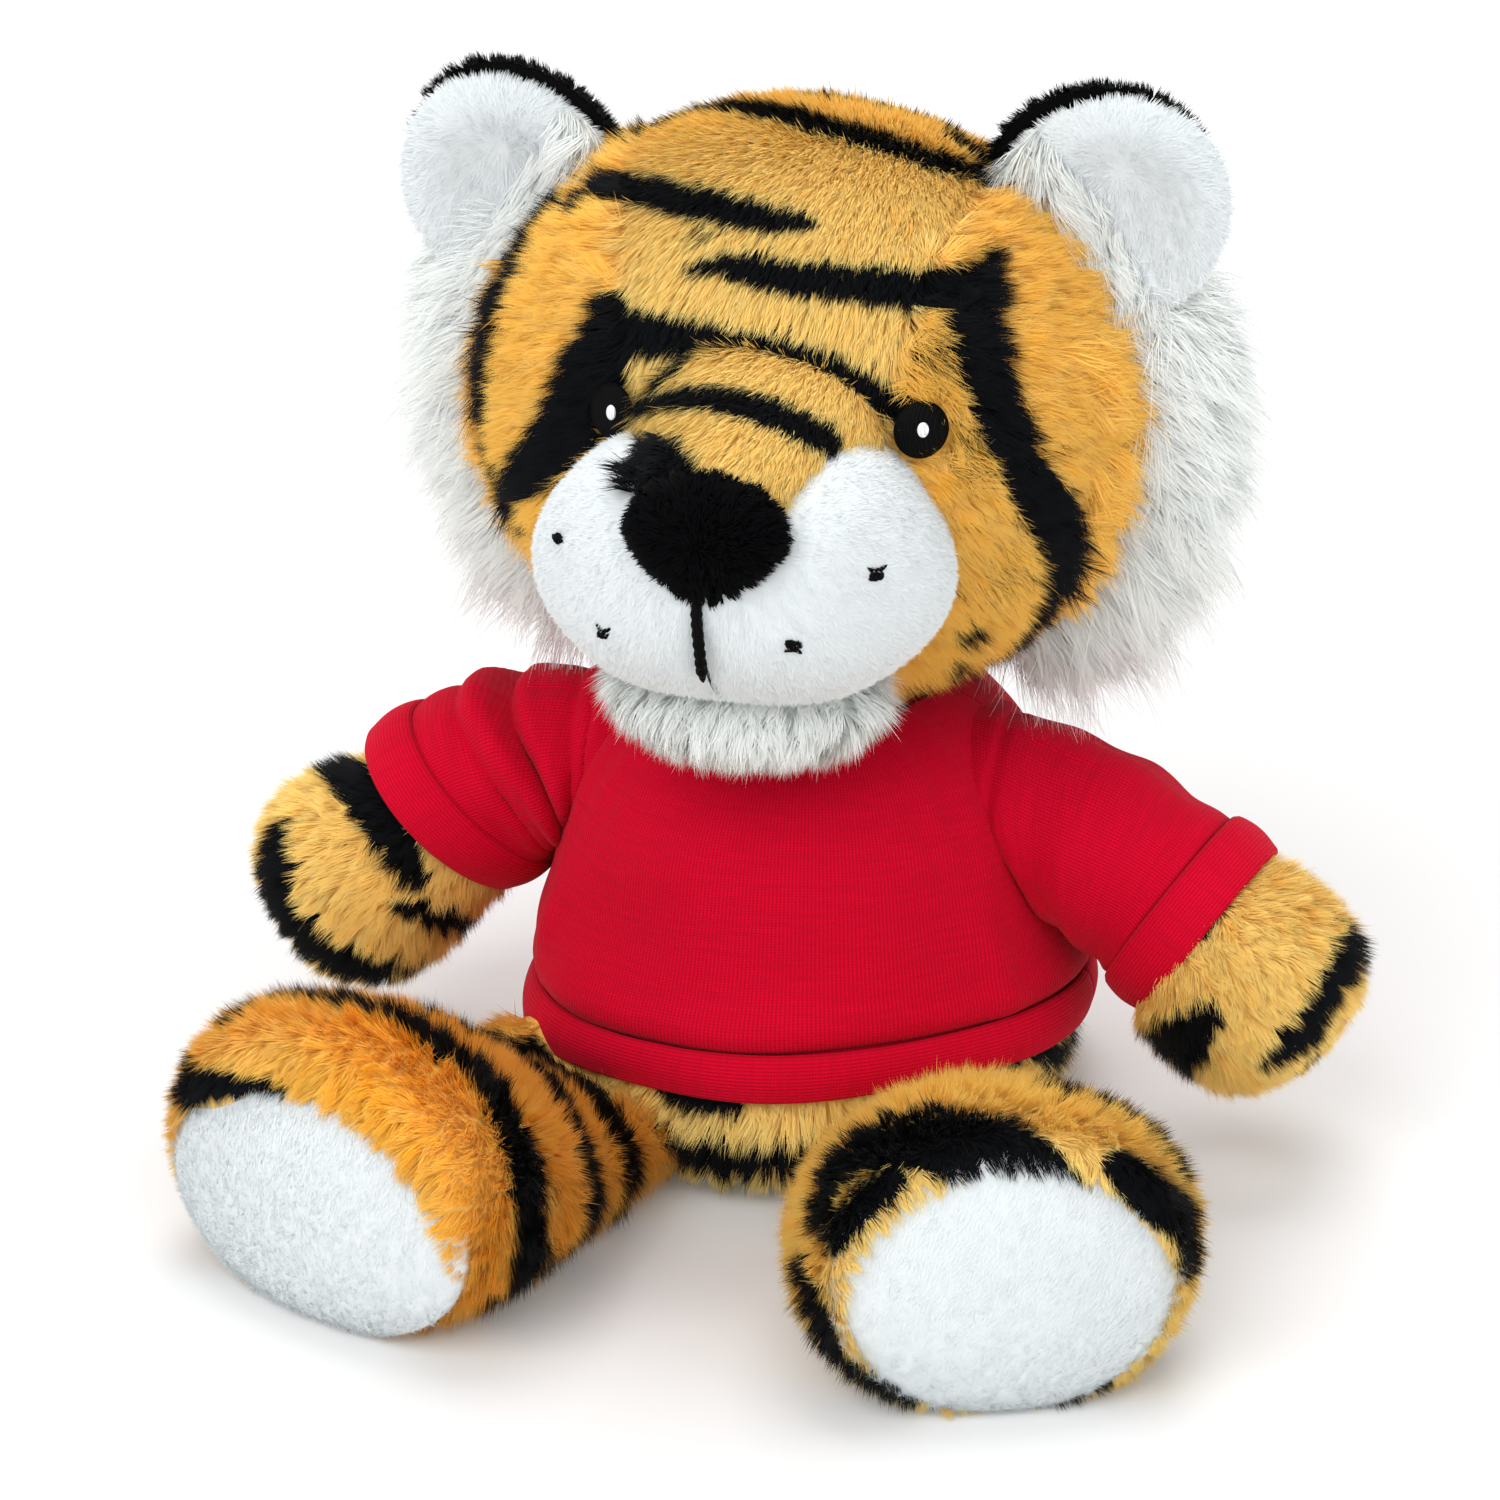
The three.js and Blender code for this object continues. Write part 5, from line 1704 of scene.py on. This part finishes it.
def make_sleeve(side):
    """A sleeve set into the armhole: its root lies on the shirt, and its cuff round the arm."""
    turn = SIDES[side]
    arm = arms[side]
    cuff_points = node_points(f"sleeve_{side}_cuff") - arm.pivot
    cuff_along = cuff_points @ arm.axis
    cuff_start, cuff_end = np.percentile(cuff_along, 2), cuff_along.max()
    cuff_radius = CUFF_FIT * np.linalg.norm(cuff_points - cuff_along[:, None] * arm.axis, axis=1).max()
    # The sleeve's own seam runs underneath
    turns = np.linspace(0, FULL_TURN, 121) - SIDE_SEAM
    ways = np.cos(turns)[:, None] * arm.across + np.sin(turns)[:, None] * arm.rise
    lie = cuff_lie(arm, np.sin(turns)[:, None])
    ends = arm.pivot + arm.axis * cuff_start + ways * cuff_radius + lie
    roots, lifts = [], []
    for way in ways:
        far = Vector(arm.pivot - 3 * MM * UP + way * ARMHOLE_RADIUS + np.array((turn * 60 * MM, 0, 0)))
        hit, normal, _, _ = shirt_surface.ray_cast(far, Vector((-turn, 0, 0)))
        if hit is None:
            hit, normal, _, _ = shirt_surface.find_nearest(Vector(arm.pivot + way * ARMHOLE_RADIUS))
        roots.append(hit)
        lifts.append(normal if normal.dot(Vector(hit)) > 0 else -normal)
    roots, lifts = np.array(roots), np.array(lifts)
    # Each line down the sleeve leaves the shirt at a slant to it and arrives along the arm
    t = np.linspace(0, 1, 60)[:, None, None]
    span = np.linalg.norm(ends - roots, axis=1)[None, :, None]
    slope = arm.axis - (lifts @ arm.axis)[:, None] * lifts
    leave = unit(slope + 0.3 * lifts)[None]
    arrive = unit(arm.axis + 0 * ends)[None]
    rings = (2 * t**3 - 3 * t**2 + 1) * roots + (t**3 - 2 * t**2 + t) * span * leave
    rings = rings + (-2 * t**3 + 3 * t**2) * ends + (t**3 - t**2) * span * arrive
    s = t[:, :, 0]
    a = turns[None]
    above = (1 + np.sin(a)) / 2
    # The armhole seam lies in an upright plane at the shoulder
    gap = np.abs(rings[:, :, 0]) - ARMHOLE_X
    folds = 0.5 * MM * hump(gap, -2 * MM, 2 * MM) - 0.9 * MM * hump(gap, 0, 0.8 * MM)
    folds = folds * smooth_step(0.15, 0.4, above)
    if side == "right":
        # Folds spread from the armpit, because this arm is raised
        for start, spread, depth, width in ARMPIT_FOLDS:
            gap = s - start - spread * above
            valley = -depth * hump(gap, 0, width) + 0.7 * depth * hump(gap, 0.11, 0.075)
            valley = valley + 0.35 * depth * hump(gap, -0.1, 0.06)
            folds += MM * valley * smooth_step(0.05, 0.35, above)
    else:
        folds += 0.9 * MM * hump(s, 0.62 + 0.1 * np.cos(a + 0.5), 0.12) - 0.8 * MM * hump(s, 0.86, 0.08)
        folds += 0.8 * MM * hump(s, 0.3 + 0.12 * np.cos(a), 0.1)
        folds += 1.2 * MM * hump(s, 0.4 + 0.12 * np.sin(a), 0.12) * smooth_step(0.4, 0.2, above)
    folds += 0.35 * MM * waves(rings.reshape(-1, 3), 14 * MM, 97).reshape(s.shape[0], -1)
    folds *= smooth_step(1.0, 0.94, s) * smooth_step(0.0, 0.05, s)
    rings = rings + ways[None] * folds[:, :, None]
    rings = rings if turn > 0 else rings[:, ::-1]
    piece, flat = cloth(f"sleeve_{side}_cloth", f"sleeve_{side}", rings, 0.8 * MM)

    band = []
    for out, down in band_section(cuff_end - cuff_start, 1.7 * MM):
        ripple = 0.4 * np.sin(3 * turns) * (-down / (cuff_end - cuff_start)) * MM
        middle = arm.pivot + arm.axis * (cuff_start - down)
        band.append(middle + ways * (cuff_radius + out + ripple)[:, None] + lie)
    band = np.stack(band) if turn > 0 else np.stack(band)[:, ::-1]
    cuff, _ = cloth(f"sleeve_{side}_cuff_cloth", f"sleeve_{side}_cuff", band, BAND_CLOTH, band=True)
    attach(cuff, arm.body)
    start, end = arm.pivot + arm.axis * 2 * MM, arm.pivot + arm.axis * 26 * MM
    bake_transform(piece)


make_sleeve("left")
make_sleeve("right")

# Neck

NECK_HALF = np.array((19, 19, 17)) * MM
neck_skin = stuffed_ball("neck_skin", neck_place, NECK_HALF, materials["tiger"], 4)
dress_skin(neck_skin, "neck", "tiger", ["neck_stuffing"], tone=0.5)
grow_pile(
    "neck_pile", skin=neck_skin, body="neck", kind="tiger",
    keep=lambda p: (head_oval.distance(p) > 0) & (p[:, 2] > neck_place[2] - 3 * MM),
    comb=lambda p: (p - neck_place) * (1, 1, 0) - UP * 4 * MM, length=4, lean=(30, 66), seed=95,
    density=9, width=0.3, gather=0.4, stray=0.3, tuft=30, tone=0.5,
)

# Filling

for node, filling in (("body_stuffing", "fibre"), ("head_stuffing", "fibre"), ("pellet_bag", "pellets")):
    frame["nodes"][node].data.materials.clear()
    frame["nodes"][node].data.materials.append(materials[filling])

# Floor and light


def make_floor():
    bpy.ops.object.select_all(action="DESELECT")
    bpy.ops.mesh.primitive_plane_add(size=FLOOR_WIDTH, location=(0, 0, 0))
    floor = bpy.context.object
    floor.name = "floor"
    material, tree, shader = new_material("matt_white_paper", 1.0, shine=0)
    path = add(tree, "ShaderNodeLightPath").outputs
    seen = path["Is Camera Ray"]
    for ray in ("Is Glossy Ray", "Is Transmission Ray"):
        seen = add(tree, "ShaderNodeMath", {0: seen, 1: path[ray]}, operation="MAXIMUM").outputs[0]
    tree.links.new(mix_colours(tree, seen, colour("#F0F0F0"), colour("#D2D2D2")), shader.inputs["Base Color"])
    glow = add(tree, "ShaderNodeEmission", {"Color": (1, 1, 1, 1), "Strength": FLOOR_GLOW})
    both = add(tree, "ShaderNodeAddShader", {0: shader.outputs[0], 1: glow.outputs[0]})
    mixed = add(tree, "ShaderNodeMixShader", {0: seen, 1: shader.outputs[0], 2: both.outputs[0]})
    tree.links.new(mixed.outputs[0], tree.nodes["Material Output"].inputs["Surface"])
    floor.data.materials.append(material)


def make_world():
    world = bpy.data.worlds.new("studio")
    bpy.context.scene.world = world
    world.use_nodes = True
    tree = world.node_tree
    tree.nodes.clear()
    seen = add(tree, "ShaderNodeLightPath").outputs["Is Camera Ray"]
    soft = add(tree, "ShaderNodeBackground", {"Color": (1, 1, 1, 1), "Strength": WORLD_LIGHT})
    white = add(tree, "ShaderNodeBackground", {"Color": (1, 1, 1, 1), "Strength": 1.0})
    mixed = add(tree, "ShaderNodeMixShader", {0: seen, 1: soft.outputs[0], 2: white.outputs[0]})
    output = add(tree, "ShaderNodeOutputWorld")
    tree.links.new(mixed.outputs[0], output.inputs["Surface"])


def add_sun(name, towards, strength, softness):
    data = bpy.data.lights.new(name, "SUN")
    data.energy = strength
    data.angle = math.radians(softness)
    lamp = bpy.data.objects.new(name, data)
    bpy.context.scene.collection.objects.link(lamp)
    lamp.rotation_euler = Vector(-np.array(towards, float)).to_track_quat("-Z", "Y").to_euler()


FLOOR_WIDTH = 6
FLOOR_GLOW = 0.06
WORLD_LIGHT = 0.62
make_floor()
make_world()
add_sun("key", (-0.4, -0.85, 0.9), 1.9, 50)
add_sun("top", (-0.05, 0.35, 1.0), 1.7, 36)
add_sun("fill", (0.9, -0.7, 0.7), 0.9, 60)
add_camera()

bpy.context.scene.view_settings.view_transform = "Standard"
